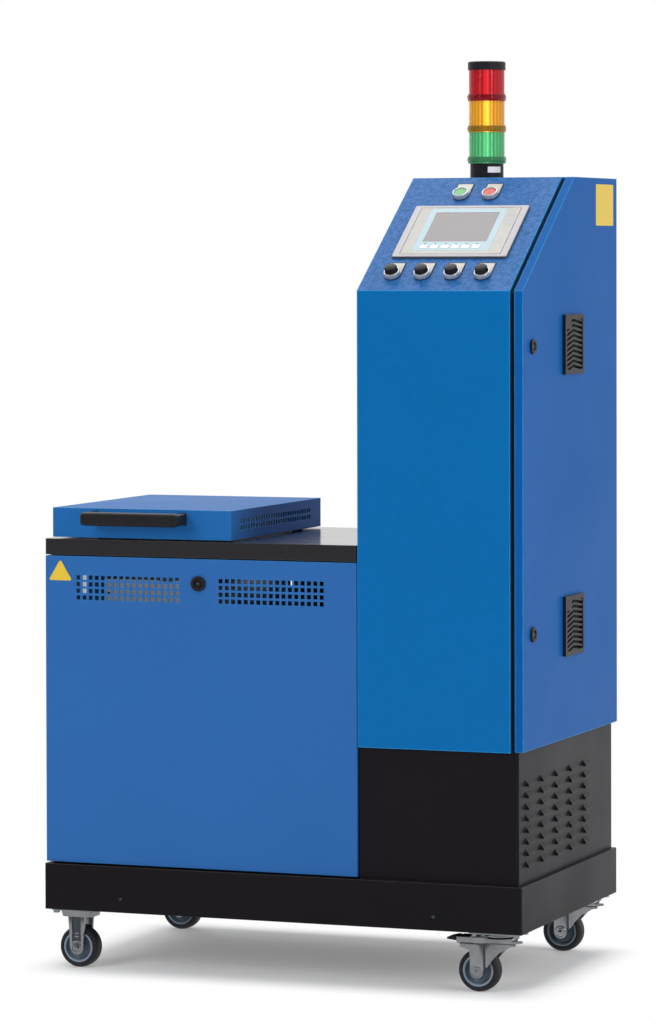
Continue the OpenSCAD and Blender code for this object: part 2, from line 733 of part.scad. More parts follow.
// A device clipped on a rail at height z, with a narrower nose
module clipped(y, w, z, h, t) {
  x0 = mount_x1 + rail_t;
  block([x0, y, z - h / 2], [x0 + t * 0.6, y + w - play, z + h / 2]);
  block([x0 + t * 0.6, y, z - h / 4], [x0 + t, y + w - play, z + h / 4]);
}
module switchgear() color("#46494e") at_origin() {
  for (i = [0:7]) clipped(mount_y0 + 1.5 * duct_w + i * breaker_w, breaker_w, rail_zs[1],
    device_h, device_t);
  for (i = [0:4]) clipped(mount_y0 + 2.5 * duct_w + 8 * breaker_w + i * contactor_w, contactor_w,
    rail_zs[1], device_h, 1.2 * device_t);
  for (i = [0:23]) clipped(mount_y0 + 1.5 * duct_w + i * breaker_w * 0.8, breaker_w * 0.8,
    rail_zs[0], device_h * 0.7, device_t * 0.6);
  switch_block();
}
switch_body = 56;
switch_rod_r = 5;
handle_r = 26;
module switch_block() {
  difference() {
    translate([cab_x0 + switch_x - switch_body / 2, cab_d - cab_sheet - switch_body,
      switch_z - switch_body / 2]) cube(switch_body);
    rod_y(switch_rod_r + run, [cab_x0 + switch_x, cab_d - cab_sheet - switch_body / 2, switch_z],
      switch_body);
  }
}
switch_plate_t = 3;
module main_switch() color("#242226") at_origin() translate([cab_x0 + switch_x, cab_d, switch_z]) {
  rod_y(switch_rod_r, [0, -cab_sheet - switch_body / 2 + play, 0],
    cab_sheet + switch_body / 2 - play + switch_plate_t);
  rod_y(handle_r, [0, play, 0], switch_plate_t);
  block([-handle_r / 4, play + switch_plate_t, -handle_r * 0.9],
    [handle_r / 4, hinge_r + hinge_y - cab_d, handle_r * 0.9]);
}

// Side door: a pan with the cabinet's side outline
knuckle_zs = [for (share = [0.08, 0.45, 0.9]) cab_z0 + cab_h * share];
filter_zs = [cab_z0 + filter_low, cab_z0 + filter_low + filter_rise];
leaf_t = 2;
leaf_w = 22;
module side_door() color("#2368ad") at_origin() {
  difference() {
    along_x(door_x0, door_x1) polygon(cab_side(0, cab_z0 + door_clear));
    along_x(door_x0 - cut, door_x1 - door_sheet)
      polygon(cab_side(door_sheet, cab_z0 + door_clear));
    for (z = filter_zs) {
      block([door_x0, filter_y - filter_cut / 2, z - filter_cut / 2],
        [door_x1 + cut, filter_y + filter_cut / 2, z + filter_cut / 2]);
      rod_x(barrel_r + play, [door_x0, lock_y, z], door_t + cut);
    }
  }
  for (z = knuckle_zs) difference() {
    union() {
      rod_z(hinge_r, [hinge_x, hinge_y, z + play / 2], hinge_half - play / 2);
      block([hinge_x - leaf_t, cab_d, z + play / 2], [hinge_x + leaf_t, hinge_y, z + hinge_half]);
      block([door_x0, cab_d, z + play / 2], [door_x1 - door_sheet, cab_d + leaf_t,
        z + hinge_half]);
    }
    rod_z(hinge_pin_r + run, [hinge_x, hinge_y, z - cut], hinge_half + 2 * cut);
  }
}
module door_hinges() color("silver") at_origin() for (z = knuckle_zs) {
  rod_z(hinge_r, [hinge_x, hinge_y, z - hinge_half], hinge_half - play / 2);
  rod_z(hinge_pin_r, [hinge_x, hinge_y, z - hinge_half], 2 * hinge_half - play);
  block([cab_x1 - leaf_w, cab_d, z - hinge_half], [hinge_x, cab_d + leaf_t, z - play / 2]);
  block([hinge_x - leaf_t, cab_d, z - hinge_half], [hinge_x, hinge_y, z - play / 2]);
}
seal_in = 8;
seal_w = 12;
module door_seal() color("#19191c") at_origin() difference() {
  along_x(cab_x1 + play, door_x1 - door_sheet) polygon(cab_side(seal_in, cab_z0 + door_clear));
  along_x(cab_x1, door_x1) polygon(cab_side(seal_in + seal_w, cab_z0 + door_clear));
}

// A quarter-turn lock: collar, barrel and a tongue that stands along +Z in the local frame
tongue_t = 3;
tongue_w = 12;
key_r = 5;
lock_out = 4;
tongue_grip = 10;
tongue_gap = 1.5;
module cam_lock(reach, back) {
  difference() {
    union() {
      cylinder(r = lock_r, h = lock_out);
      translate([0, 0, -back]) cylinder(r = barrel_r, h = back);
    }
    translate([0, 0, lock_out / 4]) difference() {
      cylinder(r = barrel_r - key_r / 2, h = lock_out);
      cylinder(r = key_r, h = lock_out / 2);
    }
  }
  translate([-tongue_w / 2, -tongue_w / 2, -back - tongue_t])
    cube([tongue_w, reach + tongue_w / 2, tongue_t]);
}
door_lock_back = door_x1 - cab_x1 + cab_sheet + tongue_gap;
door_tongue = lock_y - cab_flange + tongue_grip;
module door_lock(z) color("#1d1d20") at_origin() translate([door_x1, lock_y, z])
  rotate([90, 0, 90]) cam_lock(door_tongue, door_lock_back);
module door_lock_lower() door_lock(filter_zs[0]);
module door_lock_upper() door_lock(filter_zs[1]);

// Filter frames with chevron slats, and the lower one's fan ring behind it
filter_rim = 8;
filter_sheet = 2;
slat_rise = 9;
apex_share = 0.42;
fan_bore_r = 43;
fan_depth = 40;
fan_x0 = door_x0 - fan_depth;
latch_w = 26;
latch_h = 18;
filter_reach = 4;
filter_back = door_x0 - filter_reach;
slat_in = 1;
module filter_grilles() color("#29292c") at_origin() {
  for (z = filter_zs) translate([0, filter_y, z]) {
    difference() {
      along_x(door_x1, door_x1 + filter_out)
        translate([-filter_side / 2, -filter_side / 2]) round_rect(filter_side, filter_side, filter_sheet);
      along_x(door_x1 - cut, door_x1 + filter_out + cut)
        translate([-filter_side / 2 + filter_rim, -filter_side / 2 + filter_rim])
          square(filter_side - 2 * filter_rim);
    }
    chevrons();
    block([door_x1, -filter_side / 2 + filter_rim, filter_side / 2 - filter_rim - latch_h],
      [door_x1 + filter_out, -filter_side / 2 + filter_rim + latch_w,
        filter_side / 2 - filter_rim]);
    difference() {
      block([filter_back, -filter_cut / 2 + play, -filter_cut / 2 + play],
        [door_x1, filter_cut / 2 - play, filter_cut / 2 - play]);
      block([filter_back - cut, -filter_cut / 2 + filter_sheet + play,
          -filter_cut / 2 + filter_sheet + play],
        [door_x1 + cut, filter_cut / 2 - filter_sheet - play,
          filter_cut / 2 - filter_sheet - play]);
    }
  }
  fan_ring();
}
// Slats across one filter frame, each bent once at the apex
module chevrons() {
  inner = filter_side - 2 * filter_rim;
  pitch = inner / slats;
  thick = pitch * 0.45;
  intersection() {
    along_x(door_x1, door_x1 + filter_out) translate([-inner / 2, -inner / 2]) square(inner);
    union() for (i = [-1:slats - 1]) along_x(door_x1 + filter_sheet, door_x1 + filter_out - slat_in)
      translate([-inner / 2, -inner / 2 + i * pitch]) polygon([[0, 0], [inner * apex_share, slat_rise],
        [inner, slat_rise / 3], [inner, slat_rise / 3 + thick],
        [inner * apex_share, slat_rise + thick], [0, thick]]);
  }
}
module fan_ring() translate([0, filter_y, filter_zs[0]]) {
  difference() {
    block([fan_x0, -filter_cut / 2, -filter_cut / 2], [filter_back, filter_cut / 2, filter_cut / 2]);
    rod_x(fan_bore_r, [fan_x0 + 2 * filter_sheet, 0, 0], fan_depth);
    for (a = [0, 90, 180, 270]) rotate([a, 0, 0]) intersection() {
      rod_x(fan_bore_r, [fan_x0 - cut, 0, 0], fan_depth);
      block([fan_x0 - cut, filter_sheet, filter_sheet],
        [fan_x0 + 3 * filter_sheet, fan_bore_r, fan_bore_r]);
    }
    rod_x(bolt_r + run, [fan_x0 - cut, 0, 0], fan_depth);
  }
}
mat_t = 8;
module filter_mats() color("#2b2b2e") at_origin() for (z = filter_zs)
  translate([0, filter_y, z]) block([door_x1 - mat_t, -filter_cut / 2 + 2 * filter_sheet,
    -filter_cut / 2 + 2 * filter_sheet], [door_x1, filter_cut / 2 - 2 * filter_sheet,
    filter_cut / 2 - 2 * filter_sheet]);
blades = 7;
fan_hub_r = 18;
fan_tip_gap = 2;
module fan_rotor() color("#1b1b1e") at_origin() translate([0, filter_y, filter_zs[0]]) {
  x0 = fan_x0 + 3 * filter_sheet;
  rod_x(bolt_r, [fan_x0, 0, 0], fan_depth / 2);
  rod_x(fan_hub_r, [x0, 0, 0], fan_depth / 2);
  intersection() {
    rod_x(fan_bore_r - fan_tip_gap, [x0, 0, 0], fan_depth / 2);
    union() for (i = [0:blades - 1]) rotate([i * 360 / blades, 0, 0])
      translate([x0 + fan_depth / 4, 0, fan_hub_r * 0.9]) rotate([0, 0, 35])
        block([-fan_depth / 4, -filter_sheet / 2, 0], [fan_depth / 4, filter_sheet / 2, fan_bore_r]);
  }
}

// Display: frame on the slope, body through the cut-out, and screen in its pocket
screen_t = 1.5;
hmi_groove = 1;
key_w = 14;
key_h = 8;
key_t = 0.5;
keys = 6;
key_pitch = 19.5;
key_x = 52;
key_s = 30;
module hmi_bezel() color("#d2cdc8") at_origin() on_slope(hmi_x, hmi_s) {
  difference() {
    union() {
      round_block([0, 0, 0], [hmi_w, hmi_h, hmi_t], bend_r);
      block([hmi_body_in + play, hmi_body_in + play, -hmi_depth],
        [hmi_w - hmi_body_in - play, hmi_h - hmi_body_in - play, 0]);
    }
    translate([screen_x, screen_s, hmi_t - screen_t]) cube([screen_w, screen_h, screen_t + cut]);
    difference() {
      block([hmi_body_in, hmi_body_in / 2, hmi_t - hmi_groove],
        [hmi_w - hmi_body_in, hmi_h - hmi_body_in / 2, hmi_t + cut]);
      block([hmi_body_in + hmi_groove, hmi_body_in / 2 + hmi_groove, 0],
        [hmi_w - hmi_body_in - hmi_groove, hmi_h - hmi_body_in / 2 - hmi_groove, hmi_t + 2 * cut]);
    }
  }
  for (i = [0:keys - 1]) round_block([key_x + i * key_pitch - key_w / 2, key_s - key_h / 2, hmi_t],
    [key_x + i * key_pitch + key_w / 2, key_s + key_h / 2, hmi_t + key_t], hmi_groove);
}
module hmi_screen() color("#aaa7a6") at_origin() on_slope(hmi_x, hmi_s)
  translate([screen_x, screen_s, hmi_t - screen_t]) cube([screen_w, screen_h, screen_t * 0.8]);

// Controls: legend plate, ring with neck, nut and contact block, and the moving heads
legend_w = 30;
legend_up = 37;
legend_t = 1.2;
module legend_plates() color("#e2d8c8") at_origin() for (p = control_places)
  on_slope(p.x, p.y) difference() {
    linear_extrude(legend_t) {
      circle(r = legend_w / 2);
      translate([-legend_w / 2, 0]) square([legend_w, legend_up]);
    }
    translate([0, 0, -cut]) cylinder(r = neck_r + run, h = legend_t + 2 * cut);
  }
cup_z = 2.5;
lip_r = 1.2;
stem_r = 5;
neck_l = 12;
nut_t = 5;
contact_w = 28;
contact_l = 40;
contact_h = 34;
module control_bodies() color("#c9cbcd") at_origin() for (p = control_places)
  on_slope(p.x, p.y) {
    difference() {
      union() {
        translate([0, 0, legend_t]) rotate_extrude() {
          square([ring_r, ring_h - legend_t - lip_r]);
          square([ring_r - lip_r, ring_h - legend_t]);
          translate([ring_r - lip_r, ring_h - legend_t - lip_r]) circle(r = lip_r, $fn = 16);
        }
        translate([0, 0, -neck_l]) cylinder(r = neck_r, h = neck_l + cup_z);
        translate([0, 0, -cab_sheet - nut_t - 2 * film]) cylinder(r = ring_r, h = nut_t, $fn = 6);
      }
      translate([0, 0, cup_z]) cylinder(r = knob_r + play, h = ring_h);
      translate([0, 0, -neck_l + cup_z]) cylinder(r = stem_r + run, h = neck_l + ring_h);
    }
    translate([-contact_w / 2, -contact_l / 2, -neck_l - contact_h])
      cube([contact_w, contact_l, contact_h]);
  }
// Half section of a knob: shares of its radius and of its height
knob_shares = [[0, 0], [1, 0], [1, 0.36], [0.95, 0.42], [0.93, 0.88], [0.86, 0.96], [0.7, 1], [0, 1]];
module selector_knob(i) color("#1a1a1d") at_origin()
  on_slope(control_places[i].x, control_places[i].y) {
    translate([0, 0, -neck_l / 2]) cylinder(r = stem_r, h = neck_l);
    difference() {
      translate([0, 0, cup_z + play]) rotate_extrude()
        polygon([for (p = knob_shares) [p.x * knob_r, p.y * knob_h]]);
      translate([-stem_r / 5, knob_r * 0.2, cup_z + knob_h - stem_r / 5])
        cube([stem_r / 2.5, knob_r, knob_h]);
    }
  }
module selector_knob_1() selector_knob(0);
module selector_knob_2() selector_knob(1);
module selector_knob_3() selector_knob(2);
module selector_knob_4() selector_knob(3);
cap_low = cup_z + button_travel + play;
// Half section of a push button's cap
cap_shares = [[0, 0], [1, 0], [1, 0.7], [0.94, 0.9], [0.8, 1], [0.62, 0.94], [0, 0.9]];
module push_button(i, paint) color(paint) at_origin()
  on_slope(control_places[i].x, control_places[i].y) {
    translate([0, 0, -neck_l + cup_z + button_travel + play])
      cylinder(r = stem_r, h = neck_l);
    translate([0, 0, cap_low]) rotate_extrude()
      polygon([for (p = cap_shares) [p.x * (knob_r - play), p.y * (ring_h - cap_low + 1.5 * key_t)]]);
  }
module start_button() push_button(4, "#35a35a");
module stop_button() push_button(5, "#d8433c");

// Signal tower
core_r = 9;
module tower() {
  translate([cab_x0 + tower_x, tower_y, cab_z1]) children();
}
lens_pitch = lens_h + collar_h;
module tower_body() color("#1f1f22") at_origin() tower() {
  cylinder(r = foot_r, h = foot_h, $fn = fine);
  cylinder(r = core_r, h = foot_h + 3 * lens_pitch + cap_h);
  translate([0, 0, foot_h + 3 * lens_pitch]) rotate_extrude($fn = fine) {
    square([collar_r, cap_h - bend_r]);
    square([collar_r - bend_r, cap_h]);
    translate([collar_r - bend_r, cap_h - bend_r]) circle(r = bend_r);
  }
}
lens_wall = 3;
module tower_lens(i, paint) color(paint, 0.8) at_origin() tower()
  translate([0, 0, foot_h + i * lens_pitch]) rotate_extrude($fn = fine) difference() {
    union() {
      square([collar_r, collar_h]);
      square([lens_r, lens_pitch]);
    }
    square([core_r + run, lens_pitch + cut]);
    translate([0, collar_h]) square([lens_r - lens_wall, lens_h + cut]);
  }
module tower_lens_green() tower_lens(0, "#2f9b55");
module tower_lens_amber() tower_lens(1, "#f09a00");
module tower_lens_red() tower_lens(2, "#cc1220");

// Housing: welded frame of square bar inside the panels
keeper_t = 2;
frame_in = 3;
edge_in = 1;
frame_x0 = x_left + frame_in;
frame_x1 = housing_x1 - frame_in;
swing_gap = 1.5;
frame_y0 = panel_t + swing_gap;
frame_y1 = housing_d - panel_sheet;
frame_z1 = slab_z1 - panel_sheet;
ring_z1 = frame_z1 - post;
mid_z0 = deck_z + rail_lift - post;
mid_z1 = deck_z + rail_lift;
manifold_d = 44;
manifold_in = 6;
manifold_y1 = frame_y1 - manifold_in;
manifold_y0 = manifold_y1 - manifold_d;
tank_cx = (lid_x0 + lid_x1) / 2;
tank_cy = manifold_y0 - tank_gap - jacket_t - tank_d / 2;
cross_y = [tank_cy - tank_d / 2 + post, tank_cy + tank_d / 2 - 2 * post];
keeper_w = 40;
keeper_h = 20;
pivot_y = 6;
pivot_up = 10.5;
pivot_z = deck_z + pivot_up;
pivot_r = 3;
pivot_arm = 8;
pivot_l = 16;
pivot_xs = [for (share = [0.12, 0.88]) x_left + housing_w * share];
panel_cx = x_left + housing_w / 2;
module housing_frame() color("#33363a") at_origin() {
  for (x = [frame_x0, frame_x1 - post], y = [frame_y0, frame_y1 - post])
    block([x, y, deck_z], [x + post, y + post, ring_z1 - film]);
  for (y = [frame_y0, frame_y1 - post])
    block([frame_x0, y, ring_z1], [frame_x1, y + post, frame_z1]);
  for (x = [frame_x0, frame_x1 - post], z = [ring_z1, mid_z0])
    block([x, frame_y0 + post + film, z], [x + post, frame_y1 - post - film, z + post]);
  for (y = concat(cross_y, [frame_y1 - post]))
    block([frame_x0 + post + film, y, mid_z0], [frame_x1 - post - film, y + post, mid_z1]);
  block([panel_cx - keeper_w / 2, frame_y0, ring_z1 - keeper_h],
    [panel_cx + keeper_w / 2, frame_y0 + keeper_t, ring_z1 - film]);
  for (x = pivot_xs) {
    block([x - pivot_arm / 2, frame_y0, deck_z],
      [x + pivot_arm / 2, frame_y0 + post, pivot_z + pivot_r]);
    block([x - pivot_arm / 2, pivot_y + pivot_r + film, pivot_z - pivot_r],
      [x + pivot_arm / 2, frame_y0 - film, pivot_z + pivot_r]);
    rod_x(pivot_r, [x - pivot_l, pivot_y, pivot_z], 2 * pivot_l);
  }
}

// Left and rear sheets of the tank housing
window_rim = 20;
window_w = nipples * nipple_pitch + window_rim;
window_h = 60;
manifold_up = 78;
manifold_z = mid_z1 + manifold_up;
manifold_cx = tank_cx;
module housing_panels() color("#2265ab") at_origin() difference() {
  z1 = slab_z0 - panel_top_gap;
  union() {
    block([x_left + edge_in, frame_y0, deck_z], [frame_x0, housing_d, z1]);
    block([frame_x0, frame_y1, deck_z], [housing_x1, housing_d, z1]);
  }
  block([manifold_cx - window_w / 2, frame_y1 - cut, manifold_z - window_h / 2],
    [manifold_cx + window_w / 2, housing_d + cut, manifold_z + window_h / 2]);
  for (i = [-6:6]) block([panel_cx + (i - 0.25) * 2 * hole_pitch, frame_y1 - cut,
      z1 - grille_drop - 2 * hole_pitch],
    [panel_cx + (i + 0.25) * 2 * hole_pitch, housing_d + cut, z1 - grille_drop + 2 * hole_pitch]);
}

// Front panel: a pan with two grilles that tilts on pivots at its foot
panel_x0 = x_left + edge_in;
panel_z0 = deck_z + panel_low_gap;
panel_z1 = slab_z0 - panel_top_gap;
ear_t = 3;
module grille_holes(cols, rows) {
  for (i = [0:cols - 1], j = [0:rows - 1])
    translate([(i - (cols - 1) / 2) * hole_pitch - hole_side / 2,
      (j - (rows - 1) / 2) * hole_pitch - hole_side / 2]) square(hole_side);
}
module front_panel() color("#2368ae") at_origin() {
  along_y(0, panel_sheet) difference() {
    translate([panel_x0, panel_z0]) square([housing_x1 - panel_x0, panel_z1 - panel_z0]);
    for (side = [-1, 1]) translate([panel_cx + side * grille_off, panel_z1 - grille_drop])
      grille_holes(grille_cols, grille_rows);
    translate([panel_cx, panel_z1 - lock_drop]) circle(r = barrel_r + play);
  }
  difference() {
    block([panel_x0, panel_sheet, panel_z0], [housing_x1, panel_t, panel_z1]);
    block([panel_x0 + panel_sheet, 0, panel_z0 + panel_sheet],
      [housing_x1 - panel_sheet, panel_t + cut, panel_z1 - panel_sheet]);
    for (x = pivot_xs) block([x - pivot_arm, pivot_y - pivot_r - 2 * play, panel_z0 - cut],
      [x + pivot_arm, panel_t + cut, panel_z0 + panel_sheet + cut]);
  }
  for (x = pivot_xs, side = [-1, 1]) {
    x0 = x + side * (pivot_l - ear_t) - (side < 0 ? ear_t : 0);
    difference() {
      block([x0, panel_sheet, panel_z0 + panel_sheet],
        [x0 + ear_t, pivot_y + 2 * pivot_r, pivot_z + 2 * pivot_r]);
      rod_x(pivot_r + run, [x0 - cut, pivot_y, pivot_z], ear_t + 2 * cut);
    }
  }
}
panel_lock_back = frame_y0 + keeper_t + tongue_gap;
panel_tongue = ring_z1 - keeper_h - (panel_z1 - lock_drop) + tongue_grip;
module panel_lock() color("#1d1d20") at_origin()
  translate([panel_cx, 0, panel_z1 - lock_drop]) rotate([90, 0, 0]) rotate([0, 0, -90])
    cam_lock(panel_tongue, panel_lock_back);

// Slab over the tank housing, with the filler opening
module tank_rect(z0, z1, grow) {
  block([tank_cx - tank_w / 2 - grow, tank_cy - tank_d / 2 - grow, z0],
    [tank_cx + tank_w / 2 + grow, tank_cy + tank_d / 2 + grow, z1]);
}
module top_slab() color("#28262a") at_origin() difference() {
  round_block([x_left, 0, slab_z0], [housing_x1, housing_d, slab_z1], bend_r);
  block([x_left + panel_sheet, panel_sheet, slab_z0 - cut],
    [housing_x1 - panel_sheet, housing_d - panel_sheet, slab_z1 - panel_sheet]);
  tank_rect(slab_z0, slab_z1 + cut, 2 * play);
}

// Filler frame: flange on the slab, neck down to the tank and a grate across it
tank_z0 = mid_z1 + tank_foot;
tank_up = 3;
tank_z1 = slab_z0 + tank_up;
frame_lip = 26;
frame_sheet = 3;
grate_r = 3;
grate_bars = 7;
grate_up = 12;
grate_z = tank_z1 + grate_up;
module filler_frame() color("#9a9ca0") at_origin() {
  difference() {
    union() {
      tank_rect(slab_z1, slab_z1 + frame_sheet, frame_lip);
      tank_rect(tank_z1, slab_z1 + frame_sheet, 0);
    }
    tank_rect(tank_z1 - cut, slab_z1 + frame_sheet + cut, -tank_wall);
  }
  for (i = [1:grate_bars]) rod_y(grate_r, [tank_cx - tank_w / 2 + i * tank_w / (grate_bars + 1),
    tank_cy - tank_d / 2 + tank_wall / 2, grate_z], tank_d - tank_wall);
}

// Lid: an open pan with side vents, and its hinge leaves at the rear
lid_axis_back = 8;
lid_axis_up = 8.1;
lid_axis_y = lid_y1 + lid_axis_back;
lid_axis_z = slab_z1 + lid_axis_up;
lid_knuckle_r = 5.5;
lid_pin_r = 3;
lid_knuckle = 20;
lid_leaf_h = 14;
lid_hinge_xs = [for (share = [0.2, 0.8]) lid_x0 + lid_w * share];
module hopper_lid() color("#6f9bd0") at_origin() {
  difference() {
    round_block([lid_x0, lid_y0, lid_z0], [lid_x1, lid_y1, lid_z1], bend_r);
    block([lid_x0 + lid_sheet, lid_y0 + lid_sheet, lid_z0 - cut],
      [lid_x1 - lid_sheet, lid_y1 - lid_sheet, lid_z1 - lid_sheet]);
    for (x = [lid_x0 - cut, lid_x1 - lid_sheet - cut])
      along_x(x, x + lid_sheet + 2 * cut) translate([(lid_y0 + lid_y1) / 2 - lid_sheet * 3,
        (lid_z0 + lid_z1) / 2]) grille_holes(lid_vent_cols, lid_vent_rows);
  }
  for (x = lid_hinge_xs) difference() {
    union() {
      rod_x(lid_knuckle_r, [x - lid_knuckle / 2, lid_axis_y, lid_axis_z], lid_knuckle);
      block([x - lid_knuckle / 2, lid_y1, lid_axis_z - lid_pin_r],
        [x + lid_knuckle / 2, lid_y1 + leaf_t, lid_axis_z + lid_leaf_h]);
      block([x - lid_knuckle / 2, lid_y1, lid_axis_z - leaf_t],
        [x + lid_knuckle / 2, lid_axis_y, lid_axis_z + leaf_t]);
    }
    rod_x(lid_pin_r + run, [x - lid_knuckle, lid_axis_y, lid_axis_z], 2 * lid_knuckle);
  }
}
module lid_hinges() color("silver") at_origin() for (x = lid_hinge_xs) {
  rod_x(lid_pin_r, [x - 1.5 * lid_knuckle, lid_axis_y, lid_axis_z], 3 * lid_knuckle);
  for (side = [-1, 1]) {
    x0 = x + (side < 0 ? -1.5 * lid_knuckle : lid_knuckle / 2 + play);
    x1 = x0 + lid_knuckle - play;
    rod_x(lid_knuckle_r, [x0, lid_axis_y, lid_axis_z], x1 - x0);
    block([x0, lid_y1 + lid_sheet, slab_z1], [x1, housing_d, slab_z1 + leaf_t]);
    block([x0, lid_axis_y - leaf_t, slab_z1], [x1, lid_axis_y + leaf_t, lid_axis_z]);
  }
}
liner_z0 = slab_z1 + frame_sheet + play;
module lid_liner() color("#c6c8ca") at_origin() difference() {
  block([tank_cx - tank_w / 2 - frame_lip, tank_cy - tank_d / 2 - frame_lip, liner_z0],
    [tank_cx + tank_w / 2 + frame_lip, tank_cy + tank_d / 2 + frame_lip, lid_z1 - lid_sheet]);
  tank_rect(liner_z0 - cut, liner_z0 + frame_lip / 2, -tank_wall);
}
handle_bar = 14;
handle_post = 18;
handle_cx = (lid_x0 + lid_x1) / 2 - handle_shift;
handle_drop = 16.5;
handle_z = lid_z1 - handle_drop;
module lid_handle() color("#201f22") at_origin()
  translate([handle_cx - handle_l / 2, lid_y0 - handle_reach, handle_z - handle_h / 2])
    difference() {
      linear_extrude(handle_h) difference() {
        union() {
          round_rect(handle_l, handle_reach - handle_bar / 2, handle_bar / 3);
          translate([0, handle_bar]) square([handle_l, handle_reach - handle_bar]);
        }
        translate([handle_post, handle_bar]) square([handle_l - 2 * handle_post, handle_reach]);
      }
      for (z = [0, handle_h]) translate([handle_l / 2, 0, z]) rotate([45, 0, 0])
        cube([handle_l + 2 * cut, handle_bar / 5, handle_bar / 5], center = true);
    }

// Melt tank: walls, sloping floor, fins, feet and the outlet boss
floor_up = 25;
hip_up = 80;
floor_z = tank_z0 + floor_up;
hip_z = floor_z + hip_up;
sump_w = 60;
boss_w = 60;
boss_up = 5;
boss_out = 6;
boss_z0 = tank_z0 + boss_up;
pump_r = pump_module * pump_teeth / 2;
pump_z = manifold_z - pump_r;
duct_r = 6;
duct_z = pump_z + pump_r;
pump_x0 = tank_cx + tank_w / 2 + jacket_t + boss_out;
port_y = tank_cy - pump_r * 0.75;
function funnel(c, w) = [[c - w / 2, tank_z1 + cut], [c + w / 2, tank_z1 + cut],
  [c + w / 2, hip_z], [c + sump_w / 2, floor_z], [c - sump_w / 2, floor_z], [c - w / 2, hip_z]];
fin_t = 6;
fin_share = 0.28;
module melt_tank() color("#b9bbbe") at_origin() {
  difference() {
    union() {
      tank_rect(tank_z0, tank_z1, 0);
      block([tank_cx, tank_cy - boss_w / 2, boss_z0], [pump_x0, tank_cy + boss_w / 2,
        duct_z + boss_w / 2]);
    }
    intersection() {
      along_y(0, housing_d) polygon(funnel(tank_cx, tank_w - 2 * tank_wall));
      along_x(x_left, housing_x1) polygon(funnel(tank_cy, tank_d - 2 * tank_wall));
    }
    rod_x(duct_r, [tank_cx, port_y, duct_z], pump_x0 - tank_cx + cut);
  }
  for (i = [-1, 1]) intersection() {
    x = tank_cx + i * tank_w * fin_share;
    block([x - fin_t / 2, tank_cy - tank_d / 2, floor_z],
      [x + fin_t / 2, tank_cy + tank_d / 2, hip_z + 3 * fin_t]);
    tank_rect(tank_z0, tank_z1, -tank_wall);
  }
  for (x = [-1, 1], y = cross_y)
    rod_z(post / 2 - keeper_t, [tank_cx + x * (tank_w / 2 - post), y + post / 2, mid_z1], tank_foot);
}
module tank_jacket() color("#c9c1b4") at_origin() difference() {
  tank_rect(tank_z0 - jacket_t / 2, tank_z1 - jacket_t, jacket_t);
  tank_rect(tank_z0 - jacket_t, tank_z1, 0);
  block([tank_cx, tank_cy - boss_w / 2, tank_z0 - jacket_t],
    [pump_x0 + cut, tank_cy + boss_w / 2, duct_z + boss_w / 2]);
}

// Gear pump on the outlet boss, its two gears and the pipe to the hose manifold
end_plate = 14;
gear_side = 0.1;
chamber_w = gear_w + 2 * gear_side;
pump_x1 = pump_x0 + 2 * end_plate + chamber_w;
tip_r = pump_r + pump_module;
pump_wall = 12;
pump_half = tip_r + pump_wall;
chamber_x0 = pump_x0 + end_plate;
pipe_r = 9;
manifold_h = 56;
pipe_x = pump_x0 + end_plate + chamber_w / 2;
elbow = 12;
valve_r = 8;
valve_l = 16;
elbow_y = (manifold_y0 + manifold_y1) / 2;
module pump_body() color("#8b8e92") at_origin() {
  difference() {
    along_x(pump_x0, pump_x1) translate([tank_cy - pump_half, pump_z - pump_half])
      round_rect(2 * pump_half, 2 * pump_half + 2 * pump_r, bolt_r * 2);
    for (z = [pump_z, pump_z + 2 * pump_r]) {
      rod_x(tip_r + gear_side, [chamber_x0, tank_cy, z], chamber_w);
      rod_x(shaft_r + run, [pump_x0 + end_plate / 2, tank_cy, z], chamber_w + end_plate);
    }
    rod_x(shaft_r + run, [chamber_x0, tank_cy, pump_z], pump_x1 - chamber_x0 + cut);
    rod_x(duct_r, [pump_x0 - cut, port_y, duct_z], end_plate + cut + chamber_w / 2);
    rod_y(duct_r, [pipe_x, tank_cy + pump_r * 0.75, duct_z], pump_half);
  }
  for (y = [-1, 1], z = [pump_z - pump_half + 2 * bolt_r, duct_z,
      pump_z + 2 * pump_r + pump_half - 2 * bolt_r])
    translate([pump_x1, tank_cy + y * (pump_half - 2 * bolt_r), z])
      rotate([0, 90, 0]) cylinder(r = bolt_r * 1.5, h = bolt_r, $fn = 6);
  rod_y(valve_r, [pipe_x, tank_cy - pump_half - valve_l, duct_z], valve_l);
  translate([pipe_x, tank_cy - pump_half - valve_l, duct_z]) rotate([-90, 0, 0])
    cylinder(r = valve_r * 1.4, h = valve_l / 2, $fn = 6);
  manifold();
}
